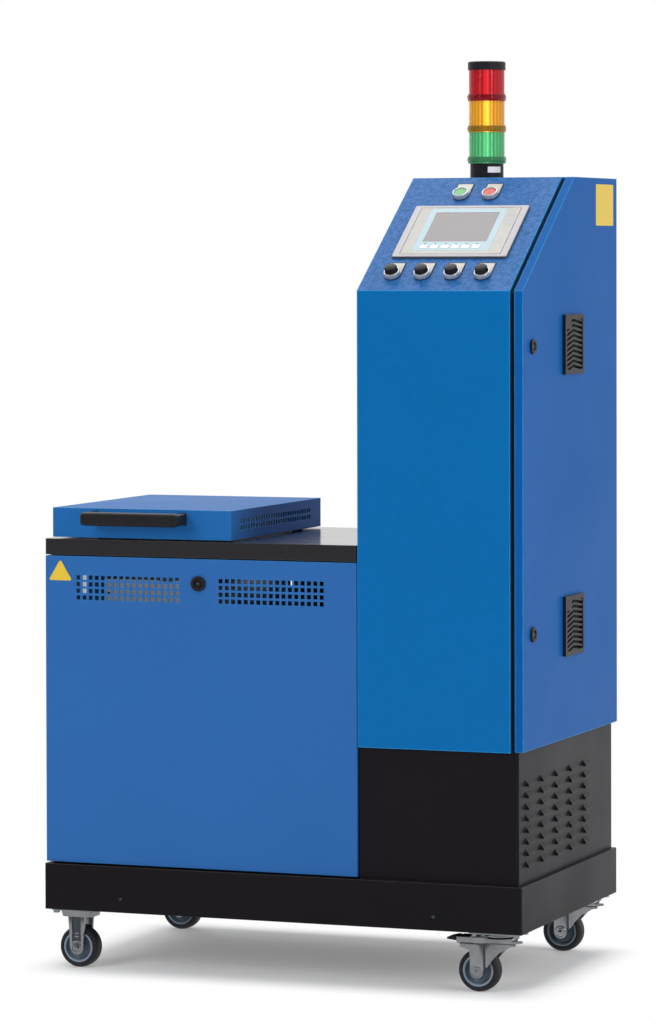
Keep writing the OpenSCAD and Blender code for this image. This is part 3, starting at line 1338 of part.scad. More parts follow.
// Manifold block with its feet, the feed pipe and the hose nipples
nipple_l = 22;
nut_l = 10;
module manifold() {
  block([manifold_cx - window_w / 2, manifold_y0, manifold_z - manifold_h / 2],
    [manifold_cx + window_w / 2, manifold_y1, manifold_z + manifold_h / 2]);
  rod_y(pipe_r, [pipe_x, tank_cy + pump_half, duct_z],
    elbow_y - elbow + cut - tank_cy - pump_half);
  rod_x(pipe_r, [manifold_cx + window_w / 2, elbow_y, duct_z],
    pipe_x - elbow + cut - manifold_cx - window_w / 2);
  block([pipe_x - elbow, elbow_y - elbow, duct_z - elbow],
    [pipe_x + elbow, elbow_y + elbow, duct_z + elbow]);
  for (side = [-1, 1]) block([manifold_cx + side * window_w / 3 - post / 2,
      frame_y1 - post, mid_z1],
    [manifold_cx + side * window_w / 3 + post / 2, manifold_y1, manifold_z]);
  for (i = [0:nipples - 1]) translate([manifold_cx + (i - (nipples - 1) / 2) * nipple_pitch,
      manifold_y1, manifold_z]) rotate([-90, 0, 0]) {
    cylinder(r = nipple_r * 1.6, h = nut_l, $fn = 6);
    cylinder(r = nipple_r, h = nut_l + nipple_l);
  }
}

// Involute outline of a pump gear: teeth thinned a little so that they run free
press_a = 25;
backlash = 0.12;
flank_steps = 4;
base_r = pump_r * cos(press_a);
root_r = pump_r - 1.2 * pump_module;
function unwind(r) = let (t = sqrt(max(0, r * r / (base_r * base_r) - 1))) t * 180 / PI - atan(t);
half_tooth = 90 / pump_teeth - backlash * 90 / (PI * pump_r) + unwind(pump_r);
function flank(side) = concat([[root_r, side * half_tooth]],
  [for (i = [0:flank_steps]) let (r = base_r + (tip_r - base_r) * i / flank_steps)
    [r, side * (half_tooth - unwind(r))]]);
function backwards(v) = [for (i = [len(v) - 1:-1:0]) v[i]];
module gear_outline(phase) {
  polygon([for (k = [0:pump_teeth - 1], p = concat(flank(-1), backwards(flank(1))))
    let (a = phase + k * 360 / pump_teeth + p.y) [p.x * cos(a), p.x * sin(a)]]);
}
module pump_gear(z, phase) {
  translate([0, tank_cy, z]) along_x(chamber_x0 + gear_side, chamber_x0 + gear_side + gear_w)
    gear_outline(phase);
  rod_x(shaft_r, [pump_x0 + end_plate / 2 + play, tank_cy, z], gear_w + end_plate - 2 * play);
}
coupling_r = 20;
coupling_l = 26;
coupling_gap = 8;
gearbox_x0 = pump_x1 + coupling_gap + coupling_l + coupling_gap;
socket_l = 24;
module pump_drive_gear() color("#a5a8ac") at_origin() {
  pump_gear(pump_z, 90);
  rod_x(shaft_r, [chamber_x0, tank_cy, pump_z], gearbox_x0 + socket_l - chamber_x0);
  rod_x(coupling_r, [pump_x1 + coupling_gap, tank_cy, pump_z], coupling_l);
}
module pump_driven_gear() color("#a5a8ac") at_origin()
  pump_gear(pump_z + 2 * pump_r, 90 + 180 / pump_teeth);

// Gearmotor on the cross rails
gearbox_l = 50;
gearbox_half = 46;
fins = 24;
fin_h = 4;
cowl_l = 26;
// Half section of the motor's fan cowl
cowl_shares = [[0, 0], [1, 0], [1, 0.62], [0.94, 0.86], [0.82, 1], [0.3, 1], [0.26, 0.9], [0, 0.9]];
module gearmotor() color("#4d5156") at_origin() {
  difference() {
    union() {
      block([gearbox_x0, tank_cy - gearbox_half, pump_z - gearbox_half],
        [gearbox_x0 + gearbox_l, tank_cy + gearbox_half, pump_z + gearbox_half]);
      block([gearbox_x0, cross_y[0], mid_z1], [gearbox_x0 + gearbox_l, cross_y[1] + post,
        mid_z1 + tank_wall]);
      block([gearbox_x0, tank_cy - gearbox_half, mid_z1], [gearbox_x0 + tank_wall,
        tank_cy + gearbox_half, pump_z]);
      block([gearbox_x0 + gearbox_l - tank_wall, tank_cy - gearbox_half, mid_z1],
        [gearbox_x0 + gearbox_l, tank_cy + gearbox_half, pump_z]);
    }
    rod_x(shaft_r + run, [gearbox_x0 - cut, tank_cy, pump_z], socket_l + 2 * cut);
  }
  along_x(gearbox_x0 + gearbox_l, gearbox_x0 + gearbox_l + motor_l - cowl_l)
    translate([tank_cy, pump_z]) {
      circle(r = motor_r - fin_h, $fn = fine);
      for (i = [0:fins - 1]) rotate(i * 360 / fins)
        translate([0, -fin_t / 6]) square([motor_r, fin_t / 3]);
    }
  translate([gearbox_x0 + gearbox_l + motor_l - cowl_l, tank_cy, pump_z]) rotate([0, 90, 0])
    rotate_extrude($fn = fine) polygon([for (p = cowl_shares) [p.x * motor_r, p.y * cowl_l]]);
  block([gearbox_x0 + gearbox_l + motor_l * 0.2, tank_cy - motor_r / 2, pump_z + motor_r - 2 * fin_h],
    [gearbox_x0 + gearbox_l + motor_l * 0.8, tank_cy + motor_r / 2, pump_z + motor_r + 2 * motor_r / 3]);
}

base_tray();
caster_bolts();
fixed_forks();
swivel_plates();
swivel_fork_front();
swivel_fork_rear();
brake_pedal_front();
brake_pedal_rear();
wheel_left_front();
wheel_left_rear();
wheel_right_front();
wheel_right_rear();
plinth_box();
plinth_louvre_panel();
transformer();
cabinet_shell();
mounting_plate();
drive_inverter();
controller();
switchgear();
main_switch();
cable_gland();
side_door();
door_seal();
door_hinges();
door_lock_upper();
door_lock_lower();
filter_grilles();
filter_mats();
fan_rotor();
hmi_bezel();
hmi_screen();
legend_plates();
control_bodies();
selector_knob_1();
selector_knob_2();
selector_knob_3();
selector_knob_4();
start_button();
stop_button();
tower_body();
tower_lens_green();
tower_lens_amber();
tower_lens_red();
housing_frame();
housing_panels();
front_panel();
panel_lock();
top_slab();
filler_frame();
hopper_lid();
lid_liner();
lid_handle();
lid_hinges();
melt_tank();
tank_jacket();
pump_body();
pump_drive_gear();
pump_driven_gear();
gearmotor();
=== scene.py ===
"""Hot melt glue unit: finishes, fine pieces, floor, lights and camera around its fixed frame.

Lengths in the calls are millimetres in the unit's own frame: X from the middle of the base,
Y back from the front face, Z up from the floor. at() turns them into metres in the model.
"""

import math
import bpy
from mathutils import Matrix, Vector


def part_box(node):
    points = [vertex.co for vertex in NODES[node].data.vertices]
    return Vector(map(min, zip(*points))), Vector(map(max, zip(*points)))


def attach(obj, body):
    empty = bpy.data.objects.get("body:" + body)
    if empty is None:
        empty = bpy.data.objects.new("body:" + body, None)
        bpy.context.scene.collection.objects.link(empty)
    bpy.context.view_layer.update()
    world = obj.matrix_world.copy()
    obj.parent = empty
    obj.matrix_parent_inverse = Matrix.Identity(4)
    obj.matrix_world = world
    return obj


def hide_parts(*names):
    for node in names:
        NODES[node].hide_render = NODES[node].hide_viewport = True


bl_info = {
    "name": "Hot melt glue unit",
    "version": (1, 0, 0),
    "blender": (4, 5, 0),
    "location": "View3D > Sidebar > Melt Unit",
    "description": "Finishes and fine pieces of a hot melt glue unit around its fixed frame",
    "category": "Object",
}

import bmesh
import bpy
from mathutils import Matrix, Vector

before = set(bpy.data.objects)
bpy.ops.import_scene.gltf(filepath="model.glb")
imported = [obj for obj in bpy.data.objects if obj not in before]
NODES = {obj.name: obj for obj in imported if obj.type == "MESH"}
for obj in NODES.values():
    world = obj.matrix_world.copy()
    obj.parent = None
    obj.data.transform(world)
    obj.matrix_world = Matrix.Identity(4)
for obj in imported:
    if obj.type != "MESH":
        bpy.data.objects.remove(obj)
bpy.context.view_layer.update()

MM = 0.001
BASE_LO, BASE_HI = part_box("base_tray")
ORIGIN = Vector(((BASE_LO.x + BASE_HI.x) / 2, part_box("front_panel")[0].y, 0))

# Places that repeat the CAD model's own sizes, in millimetres
CAB_X = 149
SLOPE_Z = 1230
SLOPE_RUN = 293
SLOPE_RISE = 202
SLOPE = math.atan2(SLOPE_RISE, SLOPE_RUN)
DOOR_X = 457
KNOBS = [(53 + 56 * i, 46.5) for i in range(4)]
BUTTONS = [(53 + 56 * i, 297) for i in (1, 2)]
FILTER_Y = 275
FILTER_Z = (628, 1132)
LOCK_Y = 51
DOOR_INNER_X = 438
FAN_X = 399
PANEL_LOCK = (-154.5, 705.5)
DUCT_Z = (496.1, 680.1, 886.2, 1165.8)
DUCT_Y = (40, 506)
PLATE_X = 165.5
RAIL_Z = (577, 783.1)
HANDLE_LO = (-368.5, -46, 807.6)
HANDLE_HI = (-176.8, 4, 832.2)
JACKET_LO = (-392.5, 120.5, 337)
JACKET_HI = (-143.5, 389.5, 738.5)
FORK_OUT = 19.5
TOWER = (262, 376, 1432)
WHEEL_R = 37.5
CASTERS = {
    "left_front": (-402, 33.5, "unit"),
    "left_rear": (-402, 506.5, "unit"),
    "right_front": (366, 33.5, "swivel_fork_front"),
    "right_rear": (366, 506.5, "swivel_fork_rear"),
}


# Places and shapes


def at(x, y, z):
    """A point of the unit in metres of the model."""
    return ORIGIN + Vector((x, y, z)) * MM


def placed(point, columns=((1, 0, 0), (0, 1, 0), (0, 0, 1))):
    """Matrix that puts local millimetres at a point, with the given local axes."""
    turn = Matrix(columns).transposed().to_4x4()
    return Matrix.Translation(point) @ turn @ Matrix.Scale(MM, 4)


def upright(x, y, z):
    """Local axes as the unit's own."""
    return placed(at(x, y, z))


def on_front(x, y, z):
    """Local Z stands off a front face, local Y points up."""
    return placed(at(x, y, z), ((1, 0, 0), (0, 0, 1), (0, -1, 0)))


def on_rear(x, y, z):
    """Local Z stands off a rear face, local Y points up."""
    return placed(at(x, y, z), ((-1, 0, 0), (0, 0, 1), (0, 1, 0)))


def on_side(x, y, z):
    """Local Z stands off the right side, local X points back, local Y up."""
    return placed(at(x, y, z), ((0, 1, 0), (0, 0, 1), (1, 0, 0)))


def on_slope(x, s, h=0):
    """A place on the console: local Y runs up the slope and local Z stands off it."""
    c, n = math.cos(SLOPE), math.sin(SLOPE)
    point = at(CAB_X + x, s * c - h * n, SLOPE_Z + s * n + h * c)
    return placed(point, ((1, 0, 0), (0, c, n), (0, -n, c)))


def add_prism(bm, outline, low, high, place, taper=0):
    """Extrudes an outline of local X and Y points from one height to another."""
    mid = Vector((sum(p[0] for p in outline), sum(p[1] for p in outline))) / len(outline)
    top = []
    for p in outline:
        away = Vector(p) - mid
        length = max(away.length, 1e-6)
        q = mid + away * ((length - taper) / length)
        top.append(bm.verts.new(place @ Vector((q.x, q.y, high))))
    bottom = [bm.verts.new(place @ Vector((p[0], p[1], low))) for p in outline]
    faces = [bm.faces.new(top), bm.faces.new(list(reversed(bottom)))]
    count = len(outline)
    for i in range(count):
        j = (i + 1) % count
        faces.append(bm.faces.new((bottom[i], bottom[j], top[j], top[i])))
    return faces


def add_ring_plate(bm, outer, inner, low, high, place):
    """A plate with one opening; both outlines have the same number of points."""
    rows = []
    for outline, z in ((outer, low), (outer, high), (inner, high), (inner, low)):
        rows.append([bm.verts.new(place @ Vector((p[0], p[1], z))) for p in outline])
    count = len(outer)
    for a, b in zip(rows, rows[1:] + rows[:1]):
        for i in range(count):
            j = (i + 1) % count
            bm.faces.new((a[i], a[j], b[j], b[i]))


def add_block(bm, low, high, place):
    """A box between two local corners."""
    outline = [(low[0], low[1]), (high[0], low[1]), (high[0], high[1]), (low[0], high[1])]
    return add_prism(bm, outline, low[2], high[2], place)


def add_lathe(bm, profile, place, steps=48, closed=False):
    """Turns (radius, height) points round the local Z axis."""
    rings = []
    for r, h in profile:
        if r < 1e-6:
            rings.append([bm.verts.new(place @ Vector((0, 0, h)))])
            continue
        rings.append([
            bm.verts.new(place @ Vector((
                r * math.cos(2 * math.pi * i / steps), r * math.sin(2 * math.pi * i / steps), h)))
            for i in range(steps)])
    pairs = list(zip(rings, rings[1:]))
    if closed:
        pairs.append((rings[-1], rings[0]))
    for a, b in pairs:
        if len(a) == 1 and len(b) == 1:
            continue
        for i in range(steps):
            j = (i + 1) % steps
            if len(a) == 1:
                bm.faces.new((a[0], b[j], b[i]))
            elif len(b) == 1:
                bm.faces.new((a[i], a[j], b[0]))
            else:
                bm.faces.new((a[i], a[j], b[j], b[i]))


def add_tube(bm, points, radius, steps=10):
    """A round bar along a line of model points in metres, with closed ends."""
    rings = []
    side = None
    for i, p in enumerate(points):
        ahead = (points[min(i + 1, len(points) - 1)] - points[max(i - 1, 0)]).normalized()
        if side is None:
            side = ahead.orthogonal().normalized()
        side = (side - ahead * side.dot(ahead)).normalized()
        other = ahead.cross(side)
        rings.append([
            bm.verts.new(p + radius * MM * (
                side * math.cos(2 * math.pi * k / steps)
                + other * math.sin(2 * math.pi * k / steps)))
            for k in range(steps)])
    add_skin(bm, rings)


def add_skin(bm, rings):
    """Joins rings of as many points each and closes both ends."""
    count = len(rings[0])
    for a, b in zip(rings, rings[1:]):
        for i in range(count):
            j = (i + 1) % count
            bm.faces.new((a[i], a[j], b[j], b[i]))
    bm.faces.new(list(reversed(rings[0])))
    bm.faces.new(rings[-1])


def circle(radius, steps=32, x=0, y=0, turn=0):
    """Outline of a circle."""
    return [(x + radius * math.cos(turn + 2 * math.pi * i / steps),
             y + radius * math.sin(turn + 2 * math.pi * i / steps)) for i in range(steps)]


def round_box(x0, y0, x1, y1, radius, steps=5):
    """Outline of a rectangle with round corners."""
    points = []
    for cx, cy, start in ((x1 - radius, y1 - radius, 0), (x0 + radius, y1 - radius, 90),
                          (x0 + radius, y0 + radius, 180), (x1 - radius, y0 + radius, 270)):
        for i in range(steps + 1):
            a = math.radians(start + 90 * i / steps)
            points.append((cx + radius * math.cos(a), cy + radius * math.sin(a)))
    return points


def round_corners(corners, radius, steps=5):
    """Outline of any convex polygon with round corners."""
    points = []
    count = len(corners)
    for i in range(count):
        p = Vector(corners[i])
        u = (Vector(corners[i - 1]) - p).normalized()
        v = (Vector(corners[(i + 1) % count]) - p).normalized()
        half = u.angle(v) / 2
        centre = p + (u + v).normalized() * (radius / math.sin(half))
        a0 = p + u * (radius / math.tan(half)) - centre
        a1 = p + v * (radius / math.tan(half)) - centre
        for k in range(steps + 1):
            q = a0.lerp(a1, k / steps).normalized() * radius
            points.append(tuple(centre + q))
    return points


def make(name, bm, paint, body, soften=0.0, smooth=40):
    """Ends a piece: soft edges, shading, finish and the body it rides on."""
    bmesh.ops.remove_doubles(bm, verts=bm.verts, dist=1e-6)
    bmesh.ops.recalc_face_normals(bm, faces=bm.faces)
    if soften:
        edges = [e for e in bm.edges
                 if len(e.link_faces) == 2 and e.calc_face_angle(0) > math.radians(smooth)]
        bmesh.ops.bevel(bm, geom=edges, offset=soften * MM, segments=2, profile=0.5,
                        affect="EDGES", clamp_overlap=True)
    mesh = bpy.data.meshes.new(name)
    bm.to_mesh(mesh)
    bm.free()
    mesh.shade_smooth()
    mesh.set_sharp_from_angle(angle=math.radians(smooth))
    mesh.materials.append(paint)
    obj = bpy.data.objects.new(name, mesh)
    bpy.context.scene.collection.objects.link(obj)
    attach(obj, body)
    return obj


# Shared effects


def new_group(name, inputs, outputs):
    """An empty shader group with named sockets; returns it with its two end nodes."""
    tree = bpy.data.node_groups.new(name, "ShaderNodeTree")
    for label, kind, value in inputs:
        socket = tree.interface.new_socket(label, in_out="INPUT", socket_type=kind)
        socket.default_value = value
    for label, kind in outputs:
        tree.interface.new_socket(label, in_out="OUTPUT", socket_type=kind)
    return tree, tree.nodes.new("NodeGroupInput"), tree.nodes.new("NodeGroupOutput")


def link_math(tree, operation, *values, clamp=False):
    """A Math node whose inputs are sockets or plain numbers."""
    node = tree.nodes.new("ShaderNodeMath")
    node.operation = operation
    node.use_clamp = clamp
    for i, value in enumerate(values):
        if isinstance(value, (int, float)):
            node.inputs[i].default_value = value
        else:
            tree.links.new(value, node.inputs[i])
    return node.outputs[0]


def link_noise(tree, scale, detail, roughness, vector):
    """A Noise node; its scale may be a socket."""
    node = tree.nodes.new("ShaderNodeTexNoise")
    node.inputs["Detail"].default_value = detail
    node.inputs["Roughness"].default_value = roughness
    if isinstance(scale, (int, float)):
        node.inputs["Scale"].default_value = scale
    else:
        tree.links.new(scale, node.inputs["Scale"])
    tree.links.new(vector, node.inputs["Vector"])
    return node.outputs["Fac"]


def build_groups():
    """The effects that several finishes share."""
    groups = {}

    tree, start, end = new_group(
        "coat_grain", [("Scale", "NodeSocketFloat", 700.0)],
        [("Height", "NodeSocketFloat"), ("Shade", "NodeSocketFloat")])
    place = tree.nodes.new("ShaderNodeTexCoord")
    fine = link_noise(tree, start.outputs["Scale"], 2.0, 0.6, place.outputs["Object"])
    wide = link_math(tree, "MULTIPLY", start.outputs["Scale"], 0.35)
    broad = link_noise(tree, wide, 1.0, 0.5, place.outputs["Object"])
    mixed = link_math(tree, "ADD", link_math(tree, "MULTIPLY", fine, 0.6),
                      link_math(tree, "MULTIPLY", broad, 0.4))
    tree.links.new(mixed, end.inputs["Height"])
    shade = link_math(tree, "MULTIPLY_ADD", mixed, 3.0, -1.0, clamp=True)
    tree.links.new(shade, end.inputs["Shade"])
    groups["grain"] = tree

    tree, start, end = new_group(
        "soft_edges", [("Radius", "NodeSocketFloat", 0.0015), ("Gain", "NodeSocketFloat", 6.0)],
        [("Normal", "NodeSocketVector"), ("Edge", "NodeSocketFloat")])
    bevel = tree.nodes.new("ShaderNodeBevel")
    bevel.samples = 4
    tree.links.new(start.outputs["Radius"], bevel.inputs["Radius"])
    geometry = tree.nodes.new("ShaderNodeNewGeometry")
    dot = tree.nodes.new("ShaderNodeVectorMath")
    dot.operation = "DOT_PRODUCT"
    tree.links.new(bevel.outputs[0], dot.inputs[0])
    tree.links.new(geometry.outputs["Normal"], dot.inputs[1])
    turned = link_math(tree, "SUBTRACT", 1.0, dot.outputs["Value"])
    edge = link_math(tree, "MULTIPLY", turned, start.outputs["Gain"], clamp=True)
    tree.links.new(bevel.outputs[0], end.inputs["Normal"])
    tree.links.new(edge, end.inputs["Edge"])
    groups["edges"] = tree

    tree, start, end = new_group(
        "handling", [("Scale", "NodeSocketFloat", 6.0)],
        [("Patch", "NodeSocketFloat"), ("Scuff", "NodeSocketFloat")])
    place = tree.nodes.new("ShaderNodeTexCoord")
    cloud = link_noise(tree, start.outputs["Scale"], 4.0, 0.55, place.outputs["Object"])
    patch = link_math(tree, "MULTIPLY_ADD", cloud, 2.4, -0.7, clamp=True)
    tree.links.new(patch, end.inputs["Patch"])
    close = link_math(tree, "MULTIPLY", start.outputs["Scale"], 14.0)
    marks = link_noise(tree, close, 6.0, 0.7, place.outputs["Object"])
    scuff = link_math(tree, "MULTIPLY_ADD", marks, 5.0, -2.4, clamp=True)
    tree.links.new(scuff, end.inputs["Scuff"])
    groups["handling"] = tree

    tree, start, end = new_group(
        "brushing",
        [("Stretch", "NodeSocketVector", (30.0, 30.0, 900.0)), ("Amount", "NodeSocketFloat", 1.0)],
        [("Height", "NodeSocketFloat"), ("Shade", "NodeSocketFloat")])
    place = tree.nodes.new("ShaderNodeTexCoord")
    scaled = tree.nodes.new("ShaderNodeVectorMath")
    scaled.operation = "MULTIPLY"
    tree.links.new(place.outputs["Object"], scaled.inputs[0])
    tree.links.new(start.outputs["Stretch"], scaled.inputs[1])
    lines = link_noise(tree, 1.0, 3.0, 0.6, scaled.outputs["Vector"])
    strong = link_math(tree, "MULTIPLY", lines, start.outputs["Amount"])
    tree.links.new(strong, end.inputs["Height"])
    shade = link_math(tree, "MULTIPLY_ADD", lines, 2.2, -0.6, clamp=True)
    tree.links.new(shade, end.inputs["Shade"])
    groups["brushing"] = tree

    # Painted light on the tower's lenses: darker stripes round the axis as painted shade of the ribs, and
    # a narrow band facing the view as a painted highlight.
    tree, start, end = new_group(
        "lens_stripes",
        [("Count", "NodeSocketFloat", 28.0), ("Depth", "NodeSocketFloat", 0.5),
         ("Narrow", "NodeSocketFloat", 25.0)],
        [("Rib Shade", "NodeSocketFloat"), ("Highlight", "NodeSocketFloat")])
    spot = tree.nodes.new("ShaderNodeNewGeometry")
    axes = tree.nodes.new("ShaderNodeSeparateXYZ")
    tree.links.new(spot.outputs["Position"], axes.inputs[0])
    middle = at(*TOWER)
    angle = link_math(tree, "ARCTAN2", link_math(tree, "SUBTRACT", axes.outputs["Y"], middle.y),
                      link_math(tree, "SUBTRACT", axes.outputs["X"], middle.x))
    wave = link_math(tree, "SINE", link_math(tree, "MULTIPLY", angle, start.outputs["Count"]))
    stripe = link_math(tree, "MULTIPLY_ADD", wave, 1.4, 0.5, clamp=True)
    tree.links.new(link_math(tree, "MULTIPLY", stripe, start.outputs["Depth"]),
                   end.inputs["Rib Shade"])
    slant = tree.nodes.new("ShaderNodeLayerWeight")
    slant.inputs["Blend"].default_value = 0.5
    facing = link_math(tree, "SUBTRACT", 1.0, slant.outputs["Facing"])
    tree.links.new(link_math(tree, "POWER", facing, start.outputs["Narrow"]), end.inputs["Highlight"])
    groups["stripes"] = tree

    tree, start, end = new_group(
        "plated_spangle", [("Scale", "NodeSocketFloat", 120.0)],
        [("Shade", "NodeSocketFloat"), ("Height", "NodeSocketFloat")])
    place = tree.nodes.new("ShaderNodeTexCoord")
    cells = tree.nodes.new("ShaderNodeTexVoronoi")
    tree.links.new(start.outputs["Scale"], cells.inputs["Scale"])
    tree.links.new(place.outputs["Object"], cells.inputs["Vector"])
    grey = tree.nodes.new("ShaderNodeSeparateColor")
    tree.links.new(cells.outputs["Color"], grey.inputs[0])
    tree.links.new(grey.outputs[0], end.inputs["Shade"])
    tree.links.new(cells.outputs["Distance"], end.inputs["Height"])
    groups["spangle"] = tree
    return groups


GROUPS = {}
PAINTS = {}


def use_group(tree, key, **values):
    """Places a shared effect in a material with its own values."""
    node = tree.nodes.new("ShaderNodeGroup")
    node.node_tree = GROUPS[key]
    for label, value in values.items():
        node.inputs[label].default_value = value
    return node


def mix_colours(tree, factor, first, second, blend="MIX"):
    """A Mix Color node; colours may be sockets or plain values."""
    node = tree.nodes.new("ShaderNodeMix")
    node.data_type = "RGBA"
    node.blend_type = blend
    tree.links.new(factor, node.inputs[0])
    for value, socket in ((first, node.inputs[6]), (second, node.inputs[7])):
        if isinstance(value, bpy.types.NodeSocket):
            tree.links.new(value, socket)
        else:
            socket.default_value = (*value[:3], 1.0)
    return node.outputs[2]


def darker(colour, share):
    """A colour scaled towards black, or towards white where the share is over 1."""
    return tuple(min(1.0, c * share) for c in colour[:3])


def paint(name, colour, shade=None, rough=(0.4, 0.5), metallic=0.0, grain=(700.0, 0.00004),
          edge=0.0012, worn=None, patch=6.0, brushed=None, spangle=None, coat=0.0, glass=0.0,
          ior=1.5, glow=0.0, gloss=0.5, edge_highlight=0.0, highlight_tone=(0.32, 0.45, 0.62),
          painted_rim_shade=0.0, lit_to=None, centre_highlight=0.0, mottle_and_sky_sheen=None, gain=6.0):
    """One finish: colour with patches and worn edges, uneven gloss, grain and soft edges; optional
    painted highlights along edges, a painted sky reflection on upward faces, painted shade at lens rims,
    a painted highlight band on lenses, and a glow.
    """
    material = bpy.data.materials.new(name)
    material.use_nodes = True
    tree = material.node_tree
    shader = tree.nodes["Principled BSDF"]
    shader.inputs["Metallic"].default_value = metallic
    shader.inputs["IOR"].default_value = ior
    shader.inputs["Specular IOR Level"].default_value = gloss
    if coat:
        shader.inputs["Coat Weight"].default_value = coat
        shader.inputs["Coat Roughness"].default_value = 0.12
    if glass:
        shader.inputs["Transmission Weight"].default_value = glass
    marks = use_group(tree, "handling", Scale=patch)
    shade = shade or darker(colour, 0.82)
    base = mix_colours(tree, marks.outputs["Patch"], colour, shade)
    if brushed:
        texture = use_group(tree, "brushing", Stretch=brushed, Amount=1.0)
    elif spangle:
        texture = use_group(tree, "spangle", Scale=spangle)
    else:
        texture = use_group(tree, "grain", Scale=grain[0])
    speckle = link_math(tree, "MULTIPLY", texture.outputs["Shade"], 0.35)
    base = mix_colours(tree, speckle, base, darker(colour, 1.18))
    # Upward faces get paler mottled blues: the mottle is the coat's grain, the paler tone a painted
    # reflection of the bright sky above.
    if mottle_and_sky_sheen:
        facing = tree.nodes.new("ShaderNodeNewGeometry")
        parts = tree.nodes.new("ShaderNodeSeparateXYZ")
        tree.links.new(facing.outputs["Normal"], parts.inputs[0])
        upward = link_math(tree, "MULTIPLY", parts.outputs["Z"], 3.0, clamp=True)
        spots = link_math(tree, "MULTIPLY_ADD", texture.outputs["Shade"], 1.6, -0.3, clamp=True)
        mixed = mix_colours(tree, spots, *mottle_and_sky_sheen)
        base = mix_colours(tree, upward, base, mixed)
    edges = use_group(tree, "edges", Radius=edge, Gain=gain)
    # Painted highlight: a paler tone mixed in along edges and bends, standing in for light caught on
    # their rounded edges.
    if edge_highlight:
        lit = link_math(tree, "MULTIPLY", edges.outputs["Edge"], edge_highlight)
        base = mix_colours(tree, lit, base, highlight_tone)
    # Painted shade: the colour darkens towards the rims, where the surface turns away from view.
    if painted_rim_shade:
        slant = tree.nodes.new("ShaderNodeLayerWeight")
        slant.inputs["Blend"].default_value = 0.5
        away = link_math(tree, "MULTIPLY", slant.outputs["Facing"], painted_rim_shade, clamp=True)
        base = mix_colours(tree, away, base, darker(colour, 0.3))
    if worn:
        rubbed = link_math(tree, "MULTIPLY", edges.outputs["Edge"], marks.outputs["Scuff"])
        base = mix_colours(tree, rubbed, base, worn)
    tree.links.new(base, shader.inputs["Base Color"])
    uneven = tree.nodes.new("ShaderNodeMapRange")
    uneven.inputs["To Min"].default_value = rough[0]
    uneven.inputs["To Max"].default_value = rough[1]
    tree.links.new(marks.outputs["Patch"], uneven.inputs["Value"])
    tree.links.new(uneven.outputs["Result"], shader.inputs["Roughness"])
    bump = tree.nodes.new("ShaderNodeBump")
    bump.inputs["Strength"].default_value = 1.0
    bump.inputs["Distance"].default_value = grain[1]
    tree.links.new(texture.outputs["Height"], bump.inputs["Height"])
    tree.links.new(edges.outputs["Normal"], bump.inputs["Normal"])
    tree.links.new(bump.outputs["Normal"], shader.inputs["Normal"])
    if glow:
        shader.inputs["Emission Strength"].default_value = glow
        tree.links.new(base, shader.inputs["Emission Color"])
    # Painted highlight on the lenses: emission in a band where the surface faces the view plus a faint
    # even glow, and darker stripes of painted rib shade.
    if centre_highlight:
        stripes = use_group(tree, "stripes", Count=28.0, Depth=0.7, Narrow=90.0)
        base = mix_colours(tree, stripes.outputs["Rib Shade"], base, darker(colour, 0.4))
        tree.links.new(base, shader.inputs["Base Color"])
        strength = link_math(tree, "MULTIPLY_ADD", stripes.outputs["Highlight"], centre_highlight, 0.12 * centre_highlight)
        tree.links.new(strength, shader.inputs["Emission Strength"])
        glare = tuple(0.92 * v + 0.08 for v in colour)
        shader.inputs["Emission Color"].default_value = (*glare, 1.0)
    # Painted light: the glow fades out along X.
    if lit_to:
        spot = tree.nodes.new("ShaderNodeNewGeometry")
        axes = tree.nodes.new("ShaderNodeSeparateXYZ")
        tree.links.new(spot.outputs["Position"], axes.inputs[0])
        reach = tree.nodes.new("ShaderNodeMapRange")
        reach.interpolation_type = "SMOOTHSTEP"
        reach.inputs["From Min"].default_value = at(lit_to[0], 0, 0).x
        reach.inputs["From Max"].default_value = at(lit_to[1], 0, 0).x
        reach.inputs["To Min"].default_value = glow
        reach.inputs["To Max"].default_value = 0.0
        tree.links.new(axes.outputs["X"], reach.inputs["Value"])
        tree.links.new(reach.outputs["Result"], shader.inputs["Emission Strength"])
    PAINTS[name] = material
    return material


def dress(node, name):
    """Gives a carried-over node its finish."""
    mesh = NODES[node].data
    mesh.materials.clear()
    mesh.materials.append(PAINTS[name])


# Sizes and colours


def colour_of(label, text, value):
    """A colour that a user may change."""
    return bpy.props.FloatVectorProperty(
        name=label, description=text, subtype="COLOR", size=3, min=0.0, max=1.0, default=value)


def length_of(label, text, value):
    """A length in millimetres that a user may change."""
    return bpy.props.FloatProperty(name=label, description=text, min=0.0, default=value)


